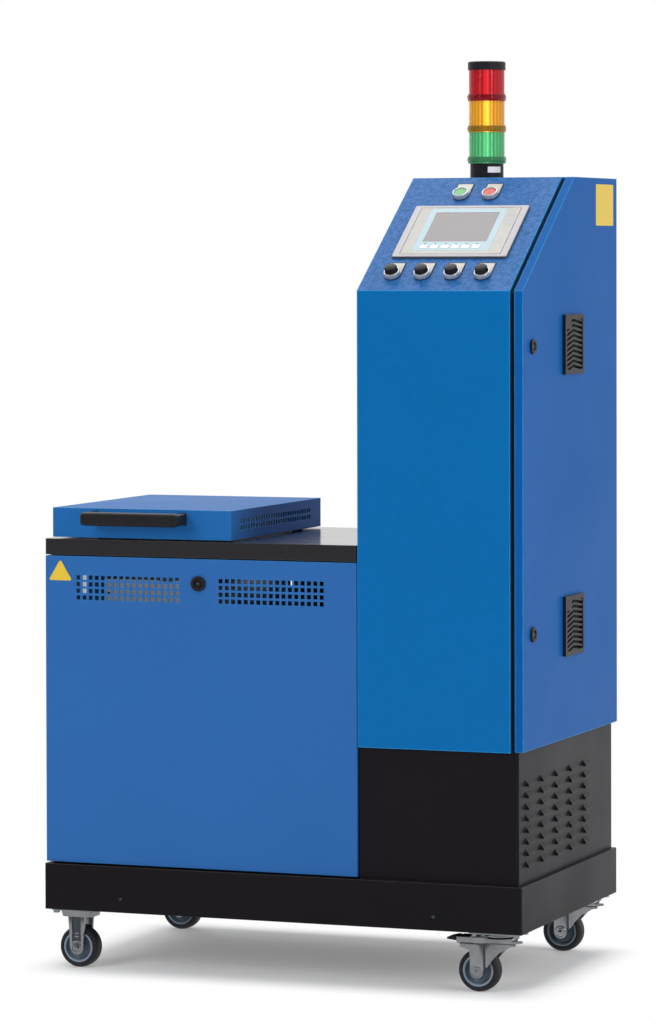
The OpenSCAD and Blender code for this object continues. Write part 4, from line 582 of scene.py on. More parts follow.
class MELT_PG_colours(bpy.types.PropertyGroup):
    """Colours of the unit's finishes."""

    cabinet: colour_of("Cabinet blue", "Powder coat of the cabinet's shell", (0.0, 0.128, 0.37))
    # The door's blue is a darker copy of the cabinet's coat: painted shade on the door's side of the
    # unit.
    door: colour_of("Door blue", "Powder coat of the side door", (0.003, 0.093, 0.332))
    housing: colour_of("Housing blue", "Powder coat of the tank housing", (0.0255, 0.125, 0.37))
    lid: colour_of("Lid blue", "Powder coat of the lid", (0.016, 0.122, 0.36))
    black: colour_of("Black coat", "Powder coat of base, plinth and slab", (0.0102, 0.0080, 0.0108))
    plastic: colour_of("Black plastic", "Handles, locks, knobs and grilles", (0.014, 0.013, 0.015))
    yellow: colour_of("Yellow plates", "The two bare plates", (0.72, 0.50, 0.035))
    zinc: colour_of("Zinc", "Plated casters, bolts and hinges", (0.60, 0.61, 0.63))
    bezel: colour_of("Display frame", "Frame of the operator display", (0.47, 0.45, 0.465))
    foil: colour_of("Display foil", "Pale foil round the screen", (0.42, 0.54, 0.585))
    screen: colour_of("Screen", "The screen when it is off", (0.27, 0.255, 0.255))
    legend: colour_of("Legend plates", "Plates behind the controls", (0.50, 0.485, 0.44))
    rim: colour_of("Wheel rims", "Plastic of the wheel rims", (0.115, 0.155, 0.205))
    tyre: colour_of("Tyres", "Rubber of the tyres", (0.014, 0.014, 0.019))
    red: colour_of("Red lamp", "Upper lens of the tower", (0.80, 0.006, 0.02))
    amber: colour_of("Amber lamp", "Middle lens of the tower", (1.0, 0.50, 0.010))
    green: colour_of("Green lamp", "Lower lens of the tower", (0.16, 0.80, 0.32))


class MELT_PG_sizes(bpy.types.PropertyGroup):
    """Sizes of the fine pieces, in millimetres."""

    plate: length_of("Plate thickness", "Thickness of the yellow plates", 0.5)
    screw: length_of("Screw radius", "Radius of the base's screw heads", 4.0)
    foil: length_of("Foil thickness", "Thickness of the display's foil", 0.25)
    ring: length_of("Rim ring", "Height of the ring on each wheel rim", 1.2)
    flute: length_of("Lens ribs", "Depth of the ribs inside the lenses", 1.4)
    soften: length_of("Soft edges", "Radius of the small pieces' edges", 0.4)
    floor: bpy.props.FloatProperty(
        name="Floor", description="Half the side of the floor", subtype="DISTANCE", default=14.0)


# Operators


class MELT_OT_finishes(bpy.types.Operator):
    """Makes every finish and gives the carried-over nodes theirs."""

    bl_idname = "melt.finishes"
    bl_label = "Finishes"

    def execute(self, context):
        c = context.scene.melt_colours
        GROUPS.update(build_groups())
        coat = dict(rough=(0.34, 0.42), patch=3.0, gain=18.0)
        # Pale blue of the painted highlight along the blue coats' edges and bends.
        bright = (0.05, 0.38, 0.70)
        # Mottled blues of the painted sky reflection on the cabinet's upward faces.
        sky_sheen_blues = ((0.0, 0.085, 0.25), (0.045, 0.145, 0.40))
        for name, colour, grain, line, gloss, edge, mottle_and_sky_sheen in (
                ("cabinet_coat", c.cabinet, (330.0, 0.0004), 0.9, 0.12, 0.0026, sky_sheen_blues),
                # The door's darker blue is painted shade.
                ("door_coat_shaded", c.door, (650.0, 0.0001), 0.9, 0.045, 0.0026, None),
                ("housing_coat", c.housing, (650.0, 0.0001), 0.4, 0.10, 0.0016, None),
                ("lid_coat", c.lid, (650.0, 0.0001), 0.8, 0.04, 0.0016, None)):
            paint(name, colour, shade=darker(colour, 0.92), worn=darker(colour, 1.9), edge=edge,
                  grain=grain, edge_highlight=line, highlight_tone=bright, gloss=gloss, mottle_and_sky_sheen=mottle_and_sky_sheen,
                  **coat)
        # The black coats get a paler grey line along their edges as a painted highlight.
        black = dict(grain=(800.0, 0.00006), edge=0.0016, worn=(0.06, 0.055, 0.06), patch=4.0,
                     edge_highlight=0.6, highlight_tone=(0.10, 0.096, 0.09), gain=14.0)
        paint("black_coat", c.black, rough=(0.36, 0.46), gloss=0.15, **black)
        paint("slab_coat", c.black, rough=(0.24, 0.32), gloss=0.3, coat=1.0, **black)
        paint("black_plastic", c.plastic, rough=(0.36, 0.5), grain=(1600.0, 0.00003), gloss=0.3,
              worn=(0.05, 0.05, 0.055), edge=0.0008)
        # The seal's dark blue is painted shade: the blue flange in shade in the gap beside the door.
        paint("foam", (0.004, 0.010, 0.020), rough=(0.75, 0.9), grain=(1500.0, 0.0002))
        # The zinc's edges get a near-white painted highlight.
        paint("zinc", c.zinc, shade=darker(c.zinc, 0.72), rough=(0.14, 0.24), metallic=1.0,
              spangle=420.0, grain=(0, 0.000002), patch=30.0, edge=0.0009,
              edge_highlight=0.8, highlight_tone=(0.95, 0.97, 1.0))
        paint("zinc_shade", (0.15, 0.17, 0.19), rough=(0.24, 0.34), metallic=1.0,
              spangle=420.0, grain=(0, 0.000002), patch=30.0, edge=0.0007)
        paint("steel", (0.46, 0.46, 0.47), rough=(0.2, 0.34), metallic=1.0,
              brushed=(60.0, 60.0, 1400.0), grain=(0, 0.00002), edge=0.0007)
        paint("galvanized", (0.60, 0.61, 0.61), shade=(0.50, 0.51, 0.52), rough=(0.3, 0.45),
              metallic=0.9, spangle=70.0, grain=(0, 0.000004), patch=8.0)
        paint("cast_metal", (0.52, 0.53, 0.54), rough=(0.42, 0.58), metallic=0.9,
              grain=(500.0, 0.0003), patch=12.0)
        # The jacket glows as painted light, daylight from the vents, strongest at its left and gone
        # towards its right end.
        paint("jacket_sheet", (0.62, 0.63, 0.63), shade=(0.55, 0.55, 0.53), rough=(0.3, 0.42),
              metallic=0.85, brushed=(1200.0, 1200.0, 25.0), grain=(0, 0.00002), glow=0.2,
              lit_to=(-215, -190))
        # A pale finish that glows: painted light.
        paint("painted_glow", (0.62, 0.68, 0.72), rough=(0.4, 0.5), spangle=70.0,
              grain=(0, 0.000004), glow=0.6)
        paint("frame_paint", (0.035, 0.037, 0.041), rough=(0.45, 0.55), grain=(500.0, 0.0001))
        paint("motor_paint", (0.075, 0.085, 0.10), rough=(0.42, 0.52), grain=(450.0, 0.0002))
        paint("grey_plastic", (0.26, 0.27, 0.28), rough=(0.4, 0.5), grain=(1200.0, 0.00003),
              edge=0.0008)
        paint("dark_device", (0.075, 0.08, 0.088), rough=(0.42, 0.5), grain=(1200.0, 0.00003),
              edge=0.0008)
        paint("light_device", (0.60, 0.59, 0.55), rough=(0.4, 0.5), grain=(1200.0, 0.00003),
              edge=0.0008)
        paint("winding", (0.20, 0.10, 0.045), shade=(0.12, 0.06, 0.03), rough=(0.35, 0.55),
              brushed=(40.0, 40.0, 700.0), grain=(0, 0.0002))
        paint("nickel", (0.55, 0.53, 0.46), rough=(0.2, 0.32), metallic=1.0,
              grain=(900.0, 0.00002), edge=0.0006)
        # The filter mats are near black as painted shade behind the grilles.
        paint("fleece", (0.030, 0.030, 0.032), shade=(0.018, 0.018, 0.02), rough=(0.85, 0.98),
              grain=(900.0, 0.0006), patch=20.0)
        paint("bezel", c.bezel, shade=darker(c.bezel, 0.95), rough=(0.34, 0.42), gloss=0.25,
              grain=(1400.0, 0.00002), edge=0.0012)
        paint("screen", c.screen, shade=darker(c.screen, 0.93), rough=(0.16, 0.24), gloss=0.25,
              grain=(2500.0, 0.000004), edge=0.0004)
        paint("legend", c.legend, shade=darker(c.legend, 0.93), rough=(0.3, 0.4),
              brushed=(700.0, 60.0, 60.0), grain=(0, 0.00001), edge=0.0004)
        paint("chromed", (0.72, 0.74, 0.77), rough=(0.24, 0.32), metallic=0.75,
              grain=(900.0, 0.000005), edge=0.0009)
        paint("green_cap", (0.14, 0.42, 0.19), rough=(0.2, 0.3), gloss=0.3, grain=(900.0, 0.000005))
        paint("red_cap", (0.62, 0.11, 0.09), rough=(0.2, 0.3), gloss=0.3, grain=(900.0, 0.000005))
        paint("field", (0.47, 0.455, 0.42), shade=(0.42, 0.405, 0.37), rough=(0.4, 0.5),
              grain=(500.0, 0.00001), patch=45.0)
        paint("knob_black", c.plastic, rough=(0.3, 0.4), grain=(1600.0, 0.00003), gloss=0.2,
              worn=(0.05, 0.05, 0.055), edge=0.0008)
        # Lenses with painted shade at the rims and painted highlight bands, strongest on the amber.
        for name, colour, centre_highlight in (("lens_red", c.red, 0.35), ("lens_amber", c.amber, 0.9),
                                   ("lens_green", c.green, 0.3)):
            paint(name, colour, rough=(0.08, 0.14), glass=0.45, ior=1.45,
                  grain=(500.0, 0.00001), edge=0.0006, painted_rim_shade=0.8, centre_highlight=centre_highlight)
            paint(name + "_collar", darker(colour, 0.3), rough=(0.1, 0.16), glass=0.3, ior=1.45,
                  grain=(500.0, 0.00001), edge=0.0006)
            core = tuple(0.55 * v + 0.45 * max(colour) for v in colour)
            paint(name + "_core", core, rough=(0.2, 0.3), grain=(500.0, 0.00001), glow=0.9)
        paint("yellow_plate", c.yellow, shade=darker(c.yellow, 0.93), rough=(0.32, 0.4),
              grain=(900.0, 0.00001), edge=0.0003)
        paint("foil", c.foil, shade=darker(c.foil, 0.96), rough=(0.3, 0.4), gloss=0.25,
              grain=(1500.0, 0.00001), edge=0.0003)
        paint("white_key", (0.86, 0.86, 0.85), rough=(0.3, 0.4), grain=(1500.0, 0.00001))
        paint("rim", c.rim, rough=(0.34, 0.44), grain=(900.0, 0.00003), edge=0.0008)
        # The ring's paler blue-grey is a painted highlight.
        paint("rim_ring_highlight", (0.22, 0.27, 0.33), rough=(0.34, 0.44), grain=(900.0, 0.00003))
        paint("tyre", c.tyre, rough=(0.5, 0.62), grain=(700.0, 0.00006), edge=0.0008,
              worn=(0.05, 0.05, 0.055))
        table = {
            "cabinet_coat": ("cabinet_shell",),
            "door_coat_shaded": ("side_door",),
            "housing_coat": ("housing_panels", "front_panel"),
            "lid_coat": ("hopper_lid",),
            "black_coat": ("base_tray", "plinth_box", "plinth_louvre_panel"),
            "slab_coat": ("top_slab",),
            "black_plastic": ("brake_pedal_front", "brake_pedal_rear", "main_switch",
                              "door_lock_upper", "door_lock_lower", "filter_grilles",
                              "fan_rotor", "selector_knob_1", "selector_knob_2",
                              "selector_knob_3", "selector_knob_4", "tower_body",
                              "panel_lock", "lid_handle"),
            "foam": ("door_seal",),
            "zinc": ("caster_bolts", "fixed_forks", "swivel_plates", "swivel_fork_front",
                     "swivel_fork_rear", "door_hinges", "lid_hinges"),
            "steel": ("filler_frame", "pump_body", "pump_drive_gear", "pump_driven_gear"),
            "galvanized": ("mounting_plate", "lid_liner"),
            "cast_metal": ("melt_tank",),
            "jacket_sheet": ("tank_jacket",),
            "frame_paint": ("housing_frame",),
            "motor_paint": ("gearmotor",),
            "grey_plastic": ("switchgear",),
            "dark_device": ("drive_inverter",),
            "light_device": ("controller",),
            "winding": ("transformer",),
            "nickel": ("cable_gland",),
            "fleece": ("filter_mats",),
            "bezel": ("hmi_bezel",),
            "screen": ("hmi_screen",),
            "legend": ("legend_plates",),
            "chromed": ("control_bodies",),
            "green_cap": ("start_button",),
            "red_cap": ("stop_button",),
            "lens_green": ("tower_lens_green",),
            "lens_amber": ("tower_lens_amber",),
            "lens_red": ("tower_lens_red",),
            "rim": ("wheel_left_front", "wheel_left_rear", "wheel_right_front",
                    "wheel_right_rear"),
        }
        for name, nodes in table.items():
            for node in nodes:
                dress(node, name)
        return {"FINISHED"}


class MELT_OT_wheels(bpy.types.Operator):
    """Rims with a raised ring painted pale as a painted highlight, round tyres and bearing shields, in
    place of the plain wheels.
    """

    bl_idname = "melt.wheels"
    bl_label = "Wheels"

    def execute(self, context):
        ring = context.scene.melt_sizes.ring
        half = 15
        for name, (x, y, fork) in CASTERS.items():
            place = placed(at(x, y, WHEEL_R), ((1, 0, 0), (0, 0, 1), (0, -1, 0)))
            body = "wheel_" + name
            bm = bmesh.new()
            side = [(4.1, 13.4), (9.4, 13.4), (10, 12.8), (10.4, 5.2), (12, 4.2), (21, 4.2),
                    (24.2, 9.6), (24.8, 12.6), (28, 13.2)]
            profile = side + [(r, -h) for r, h in reversed(side)]
            add_lathe(bm, profile, place, 64, closed=True)
            rim = make("rim_" + name, bm, PAINTS["rim"], body)
            bm = bmesh.new()
            for s in (-1, 1):
                add_lathe(bm, [(24.2, s * 12.3), (24.8, s * (12.7 + ring)),
                               (27.9, s * (12.9 + ring)), (28.6, s * 13)], place, 64)
            make("rim_ring_highlight_" + name, bm, PAINTS["rim_ring_highlight"], body)
            bm = bmesh.new()
            tread = [(28, 13.2), (30.5, half), (33.2, 14.6), (35.6, 12.6), (37, 9.4), (37.5, 5),
                     (37.5, 0)]
            profile = tread + [(r, -h) for r, h in reversed(tread[:-1])]
            add_lathe(bm, profile, place, 96, closed=True)
            tyre = make("tyre_" + name, bm, PAINTS["tyre"], body)
            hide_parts(body)
            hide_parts(body)
            bm = bmesh.new()
            for s in (-1, 1):
                add_lathe(bm, [(4.1, s * 13.6), (8.6, s * 13.6), (9.1, s * 13.2), (9.1, s * 12.9)],
                          place, 40)
            make("bearing_shield_" + name, bm, PAINTS["zinc"], body)
            bm = bmesh.new()
            for s in (-1, 1):
                end = placed(at(x, y, WHEEL_R), ((1, 0, 0), (0, 0, s), (0, -s, 0)))
                add_lathe(bm, [(0, 27.4), (2.6, 27.2), (3.6, 26.4), (3.8, 23.5)], end, 24)
                add_lathe(bm, [(8.6, 19.4), (8.6, 20.6), (8, 21), (6.2, 21)], end, 32)
            make("axle_end_" + name, bm, PAINTS["zinc"], fork)
        return {"FINISHED"}


class MELT_OT_display(bpy.types.Operator):
    """The display's pale foil, white keys, dots and small fields, and a dark ring of painted shade round
    the frame's side walls.
    """

    bl_idname = "melt.display"
    bl_label = "Display"

    def execute(self, context):
        foil = context.scene.melt_sizes.foil
        face = on_slope(36.5, 99, 5)
        bm = bmesh.new()
        add_ring_plate(bm, round_box(33, 17, 176, 149, 2.5), round_box(44.6, 44.6, 165.4, 137.4, 1),
                       0, foil, face)
        make("display_foil", bm, PAINTS["foil"], "unit")
        bm = bmesh.new()
        add_ring_plate(bm, round_box(13.2, 7.2, 200.8, 151.8, 1), round_box(33, 17, 176, 149, 2.5),
                       0, foil * 0.4, face)
        make("display_margin", bm, PAINTS["field"], "unit")
        # A dark ring round the frame's side walls, below its face: painted shade.
        bm = bmesh.new()
        add_ring_plate(bm, round_box(-0.7, -0.9, 214.7, 159.5, 3), round_box(2, 2, 212, 157, 2),
                       -5, -1.3, face)
        make("display_shade_band", bm, PAINTS["dark_device"], "unit")
        bm = bmesh.new()
        for i in range(6):
            x = 52 + 19.5 * i
            add_prism(bm, round_box(x - 7, 23, x + 7, 34.5, 2), foil, 1.1, face, taper=0.5)
        make("display_keys", bm, PAINTS["white_key"], "unit", soften=0.2)
        bm = bmesh.new()
        for i in range(6):
            add_prism(bm, circle(1.5, 16, 52 + 19.5 * i, 38), foil, foil + 0.15, face)
        make("display_dots", bm, PAINTS["black_plastic"], "unit")
        bm = bmesh.new()
        for y in (98, 112, 126):
            add_prism(bm, round_box(183, y, 196, y + 10, 1.5), foil * 0.4, foil, face)
        make("display_fields", bm, PAINTS["bezel"], "unit")
        return {"FINISHED"}


class MELT_OT_controls(bpy.types.Operator):
    """Ribbed knobs in place of the plain ones, their marks, and the thick control rings."""

    bl_idname = "melt.controls"
    bl_label = "Controls"

    def execute(self, context):
        for i, (x, s) in enumerate(KNOBS):
            body = "selector_knob_%d" % (i + 1)
            face = on_slope(x, s)
            bm = bmesh.new()
            add_lathe(bm, [(0, 2.9), (11.4, 2.9), (11.4, 9.8), (10.9, 10.6), (10.7, 17.4),
                           (10.2, 18.6), (8.4, 19.5), (0, 20)], face, 64)
            for k in range(36):
                a = 2 * math.pi * k / 36
                rib = [(10.4 * math.cos(a + d), 10.4 * math.sin(a + d)) for d in (-0.05, 0.05)]
                tip = [(11.3 * math.cos(a + d), 11.3 * math.sin(a + d)) for d in (0.03, -0.03)]
                add_prism(bm, rib + tip, 9.8, 17.6, face)
            knob = make("knob_%d" % (i + 1), bm, PAINTS["knob_black"], body)
            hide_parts(body)
            bm = bmesh.new()
            add_prism(bm, round_box(-0.7, 4.2, 0.7, 8.4, 0.6), 19.2, 19.9, face)
            make("knob_pointer_%d" % (i + 1), bm, PAINTS["dark_device"], body)
        bm = bmesh.new()
        for x, s in KNOBS + BUTTONS:
            add_lathe(bm, [(14.6, 1.25), (14.75, 7.6), (14.3, 9.2), (13.4, 10.2), (12.6, 10.2),
                           (12, 9.4), (11.9, 1.25)], on_slope(x, s), 64, closed=True)
        make("control_rings", bm, PAINTS["chromed"], "unit")
        return {"FINISHED"}


class MELT_OT_tower(bpy.types.Operator):
    """Ribbed cores inside the lenses, their collars, lamps, and a bare plate on the foot."""

    bl_idname = "melt.tower"
    bl_label = "Signal tower"

    def execute(self, context):
        flute = context.scene.melt_sizes.flute
        for i, name in enumerate(("green", "amber", "red")):
            z0 = TOWER[2] + 27 + 56.9 * i + 13.6
            place = upright(TOWER[0], TOWER[1], z0)
            count = 28
            bm = bmesh.new()
            outline = []
            for k in range(count):
                for share, r in ((0.0, 28.6), (0.3, 28.6), (0.5, 28.6 - flute), (0.8, 28.6 - flute)):
                    a = 2 * math.pi * (k + share) / count
                    outline.append((r * math.cos(a), r * math.sin(a)))
            inner = [(p[0] * 0.86, p[1] * 0.86) for p in outline]
            add_ring_plate(bm, outline, inner, 0, 42.5, place)
            make("lens_ribs_" + name, bm, PAINTS["lens_%s" % name], "unit")
            bm = bmesh.new()
            add_lathe(bm, [(33, -12.6), (34.2, -12.7), (34.8, -11.9), (34.8, -2.2), (34.2, -1.2),
                           (33, -1.1)], place, 64, closed=True)
            for k in range(8):
                a = math.pi * (k + 0.5) / 4
                add_prism(bm, circle(1.6, 12, 34 * math.cos(a), 34 * math.sin(a)), -9, -4, place)
            make("lens_collar_" + name, bm, PAINTS["lens_%s_collar" % name], "unit")
            bm = bmesh.new()
            add_lathe(bm, [(9.1, 0), (16, 0), (16, 3), (11, 6), (11, 36), (14, 40), (9.1, 40)],
                      place, 32)
            make("lamp_" + name, bm, PAINTS["lens_%s_core" % name], "unit")
        bm = bmesh.new()
        foot = upright(TOWER[0], TOWER[1], TOWER[2])
        turns = [math.radians(-68 + 5 * k) for k in range(11)]
        arc = [(30.9 * math.cos(a), 30.9 * math.sin(a)) for a in turns]
        back = [(30.4 * math.cos(a), 30.4 * math.sin(a)) for a in reversed(turns)]
        add_prism(bm, arc + back, 10, 21, foot)
        make("tower_plate", bm, PAINTS["white_key"], "unit")
        return {"FINISHED"}


class MELT_OT_forks(bpy.types.Operator):
    """Fixed forks with pressed cheeks, and the raised cheeks of the swivel forks."""

    bl_idname = "melt.forks"
    bl_label = "Forks"

    def execute(self, context):
        for name, (x, y, fork) in CASTERS.items():
            if fork == "unit":
                self.fixed_fork(name, x, y)
                continue
            bm, dark = bmesh.new(), bmesh.new()
            for side, face in ((-1, on_front), (1, on_rear)):
                self.swivel_side(bm, dark, face(x, y + side * FORK_OUT, WHEEL_R), -side)
            make("fork_fold_" + name, dark, PAINTS["zinc_shade"], fork)
            make("fork_ribs_" + name, bm, PAINTS["zinc"], fork, soften=0.5, smooth=30)
        return {"FINISHED"}

    def fixed_fork(self, name, x, y):
        """Top plate, crown, two straight cheeks with a channel in painted shade, and the axle."""
        bm, dark = bmesh.new(), bmesh.new()
        add_prism(bm, round_box(-47, -34, 47, 34, 9), 105, 108, upright(x, y, 0), taper=0.3)
        add_prism(bm, round_box(-30, -22, 30, 22, 9), 93, 105, upright(x, y, 0), taper=-3)
        for side, face in ((-1, on_front), (1, on_rear)):
            place = face(x, y + side * FORK_OUT, WHEEL_R)
            foot = [(13 * math.cos(a), 13 * math.sin(a))
                    for a in (math.pi * (1 + k / 14) for k in range(15))]
            add_prism(bm, foot + [(15, 30), (16.5, 58), (-16.5, 58), (-15, 30)], -2.5, 0, place)
            for s in (-1, 1):
                edge = [(s * 9.6, -6), (s * 13, -1), (s * 15, 30), (s * 16.5, 58), (s * 9, 58),
                        (s * 7.5, 30)]
                add_prism(bm, edge, 0, 2.6, place, taper=1.2)
            for z in (18, 24):
                add_prism(bm, round_box(-4.5, z, 4.5, z + 3, 1.4), 0, 1.1, place, taper=0.7)
            add_prism(dark, [(-9.4, 12), (9.4, 12), (7.3, 30), (8.8, 57), (-8.8, 57), (-7.3, 30)],
                      0, 0.3, place)
            add_lathe(bm, [(8.8, 0), (8.8, 1.6), (10, 2.2), (11.6, 1.4), (12, 0)], place, 36)
        add_lathe(bm, [(3.9, -19), (3.9, 19), (0, 19)], on_front(x, y, WHEEL_R), 20)
        fork = make("fork_" + name, bm, PAINTS["zinc"], "unit", soften=0.5, smooth=30)
        make("fork_channel_" + name, dark, PAINTS["zinc_shade"], "unit")
        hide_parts("fixed_forks")

    def swivel_side(self, bm, dark, place, turn):
        """The cheek's two raised halves with the fold between them in painted shade, and its axle boss.
        """
        foot = [(13 * math.cos(a), 13 * math.sin(a))
                for a in (math.pi * (1 + k / 12) for k in range(11))]
        left = foot + [(12.2, 2), (12.2, 50), (-32, 50), (-32, 42), (-13.6, 38)]
        right = [(15.8, 6), (19.5, 8), (28.2, 20.2), (41.3, 34.4), (58.7, 44.6), (72, 47), (72, 51),
                 (15.4, 51)]
        for outline in (left, right):
            shape = [(turn * p[0], p[1]) for p in outline]
            add_prism(bm, shape, -2.2, 1.6, place, taper=0.8)
        add_lathe(bm, [(8.8, 0), (8.8, 2.4), (10, 2.8), (11.4, 2.2), (11.8, 0)], place, 36)
        add_prism(dark, [(turn * x, z) for x, z in ((12.2, 4), (15.8, 7), (15.8, 50), (12.2, 50))],
                  -2.2, 0.2, place)


class MELT_OT_locks(bpy.types.Operator):
    """Inserts of the quarter turn locks, with their double-bit keyways."""

    bl_idname = "melt.locks"
    bl_label = "Locks"

    def execute(self, context):
        places = [("door_lock_lower", on_side(DOOR_X, LOCK_Y, FILTER_Z[0])),
                  ("door_lock_upper", on_side(DOOR_X, LOCK_Y, FILTER_Z[1])),
                  ("panel_lock", on_front(PANEL_LOCK[0], 0, PANEL_LOCK[1]))]
        for body, place in places:
            bm = bmesh.new()
            add_lathe(bm, [(7.8, 2.9), (8.2, 3.6), (9, 3.6), (9.4, 2.9)], place, 48)
            add_lathe(bm, [(11.4, 3.9), (11.8, 4.3), (12.8, 4.3), (13.2, 3.9)], place, 48)
            for s in (-1, 1):
                add_prism(bm, round_box(s * 5.6 - 1.2, -1.1, s * 5.6 + 1.2, 1.1, 0.6), 1, 2.6, place)
            make(body + "_insert", bm, PAINTS["black_plastic"], body, soften=0.15)
            bm = bmesh.new()
            add_prism(bm, circle(1.9, 20), 1, 3.2, place, taper=0.3)
            make(body + "_pin", bm, PAINTS["motor_paint"], body)
        return {"FINISHED"}


class MELT_OT_filters(bpy.types.Operator):
    """Clips of the filters inside the door, and the fan's wire guard."""

    bl_idname = "melt.filters"
    bl_label = "Filters"

    def execute(self, context):
        bm = bmesh.new()
        for z in FILTER_Z:
            for side in (-1, 1):
                for up in (-1, 1):
                    place = on_side(DOOR_INNER_X, FILTER_Y + side * 46.3, z + up * 24)
                    place = place @ Matrix.Scale(side, 4, (1, 0, 0))
                    clip = [(0, -5), (4.5, -4), (4.5, 4), (0, 5)]
                    add_prism(bm, clip, -9, -0.2, place, taper=0.8)
        make("filter_clips", bm, PAINTS["black_plastic"], "side_door", soften=0.3)
        bm = bmesh.new()
        for radius in (12, 20, 28, 36, 43):
            ring = [at(FAN_X, FILTER_Y + radius * math.cos(a), FILTER_Z[0] + radius * math.sin(a))
                    for a in (2 * math.pi * k / 48 for k in range(49))]
            add_tube(bm, ring, 0.8, 8)
        for k in range(4):
            a = math.pi * (k + 0.5) / 2
            spoke = [at(FAN_X - 1, FILTER_Y + r * math.cos(a), FILTER_Z[0] + r * math.sin(a))
                     for r in (11, 50)]
            add_tube(bm, spoke, 0.9, 8)
        make("fan_guard", bm, PAINTS["chromed"], "side_door")
        return {"FINISHED"}


class MELT_OT_legend_shadows(bpy.types.Operator):
    """Dark rims round the legend plates: painted shadow along their edges."""

    bl_idname = "melt.console_trim"
    bl_label = "Legend borders"

    def execute(self, context):
        # Black rims round each legend plate stand in for the shadow along its edges: painted shadow.
        bm = bmesh.new()
        for x, s in KNOBS + BUTTONS:
            add_ring_plate(bm, self.plate(15.4, 37.4), self.plate(14.1, 36.1), 0.2, 1.45,
                           on_slope(x, s))
        make("legend_shadow_rims", bm, PAINTS["black_plastic"], "unit")
        return {"FINISHED"}

    def plate(self, radius, top):
        """Outline of a legend plate: a half circle below a square end."""
        low = [(radius * math.cos(math.radians(a)), radius * math.sin(math.radians(a)))
               for a in range(180, 361, 10)]
        return low + [(radius, top), (-radius, top)]


class MELT_OT_cabinet_devices(bpy.types.Operator):
    """Toggles, screws, the ducts' slots in painted shade, and keys on the devices inside the cabinet."""

    bl_idname = "melt.cabinet_devices"
    bl_label = "Cabinet devices"

    def execute(self, context):
        breaker, contactor, terminal = 18, 45, 14.4
        toggles, screws, labels, slots = (bmesh.new() for _ in range(4))
        for i in range(8):
            y = 85 + breaker * (i + 0.5)
            face = on_side(PLATE_X + 77.5, y, RAIL_Z[1])
            add_prism(toggles, round_box(-3.6, -4, 3.6, 9, 1), 0, 6.5, face, taper=1)
            add_prism(labels, round_box(-7, 12, 7, 18, 0.6), 0, 0.3, face)
            for z in (-32, 32):
                self.screw(screws, on_side(PLATE_X + 49.5, y, RAIL_Z[1] + z), 3.2)
        for i in range(5):
            y = 259 + contactor * (i + 0.5)
            face = on_side(PLATE_X + 91.5, y, RAIL_Z[1])
            add_prism(toggles, round_box(-8, -8, 8, 8, 2), 0, 2.5, face, taper=1)
            add_prism(labels, round_box(-18, 12, 18, 19, 0.8), 0, 0.3, face)
            for z in (-33, 33):
                for k in (-1, 0, 1):
                    self.screw(screws, on_side(PLATE_X + 57.9, y + 13 * k, RAIL_Z[1] + z), 3.6)
        for i in range(24):
            y = 85 + terminal * (i + 0.5)
            add_prism(labels, round_box(-4, -3, 4, 3, 0.5), 0, 0.3, on_side(PLATE_X + 49.5, y, RAIL_Z[0]))
            for z in (-22, 22):
                self.screw(screws, on_side(PLATE_X + 32.7, y, RAIL_Z[0] + z), 2.6)
        # Thin dark plates on the wiring ducts: painted shade of their open slots.
        for z in DUCT_Z:
            for up, turn in ((15, 1), (-15, -1)):
                for i in range(36):
                    y = DUCT_Y[0] + 17 + 12.4 * i
                    place = placed(at(PLATE_X, y, z + up), ((0, turn, 0), (1, 0, 0), (0, 0, turn)))
                    add_prism(slots, round_box(-2.2, 8, 2.2, 34, 2), 0, 0.12, place)
        make("device_toggles", toggles, PAINTS["black_plastic"], "unit", soften=0.3)
        make("device_labels", labels, PAINTS["white_key"], "unit")
        make("device_screws", screws, PAINTS["zinc"], "unit")
        make("duct_slot_shade", slots, PAINTS["dark_device"], "unit")
        self.inverter()
        self.controller()
        return {"FINISHED"}

    def screw(self, bm, place, radius):
        """A recessed screw head with a raised rim."""
        add_lathe(bm, [(0, 0.2), (radius * 0.55, 0.2), (radius * 0.7, 0.9), (radius, 0.7),
                       (radius, 0)], place, 16)

    def inverter(self):
        """Keypad, dial and terminal cover of the drive inverter."""
        face = on_side(PLATE_X + 150, 125, 1021)
        bm = bmesh.new()
        add_prism(bm, round_box(-34, 8, 34, 88, 4), 0, 3, face, taper=1)
        add_prism(bm, round_box(-46, -92, 46, -24, 3), 0, 2, face, taper=1)
        make("inverter_cover", bm, PAINTS["grey_plastic"], "unit", soften=0.5)
        bm = bmesh.new()
        add_prism(bm, round_box(-24, 58, 24, 80, 1.5), 3, 3.3, face)
        for i in range(4):
            add_prism(bm, round_box(-28 + 16 * i, 14, -17 + 16 * i, 21, 1.5), 3, 4.2, face, taper=0.5)
        make("inverter_keys", bm, PAINTS["black_plastic"], "unit", soften=0.2)
        bm = bmesh.new()
        dial = on_side(PLATE_X + 153, 125, 1021 + 39)
        add_lathe(bm, [(0, 5.5), (8.6, 5.5), (9.6, 4.8), (10, 0)], dial, 40)
        make("inverter_dial", bm, PAINTS["light_device"], "unit")

    def controller(self):
        """Lamps and connector rows of the controller's modules."""
        plugs, lamps = bmesh.new(), bmesh.new()
        for i in range(5):
            y = 296 + 36 * (i + 0.5)
            face = on_side(PLATE_X + 80, y, 971)
            add_prism(plugs, round_box(-8, -40, 8, 6, 1), 0, 4, face, taper=0.6)
            for k in range(8):
                add_prism(lamps, round_box(-9 + 2.4 * k, 26, -7.6 + 2.4 * k, 29, 0.3), 0, 0.4, face)
        make("controller_plugs", plugs, PAINTS["dark_device"], "unit", soften=0.3)
        make("controller_lamps", lamps, PAINTS["green_cap"], "unit")


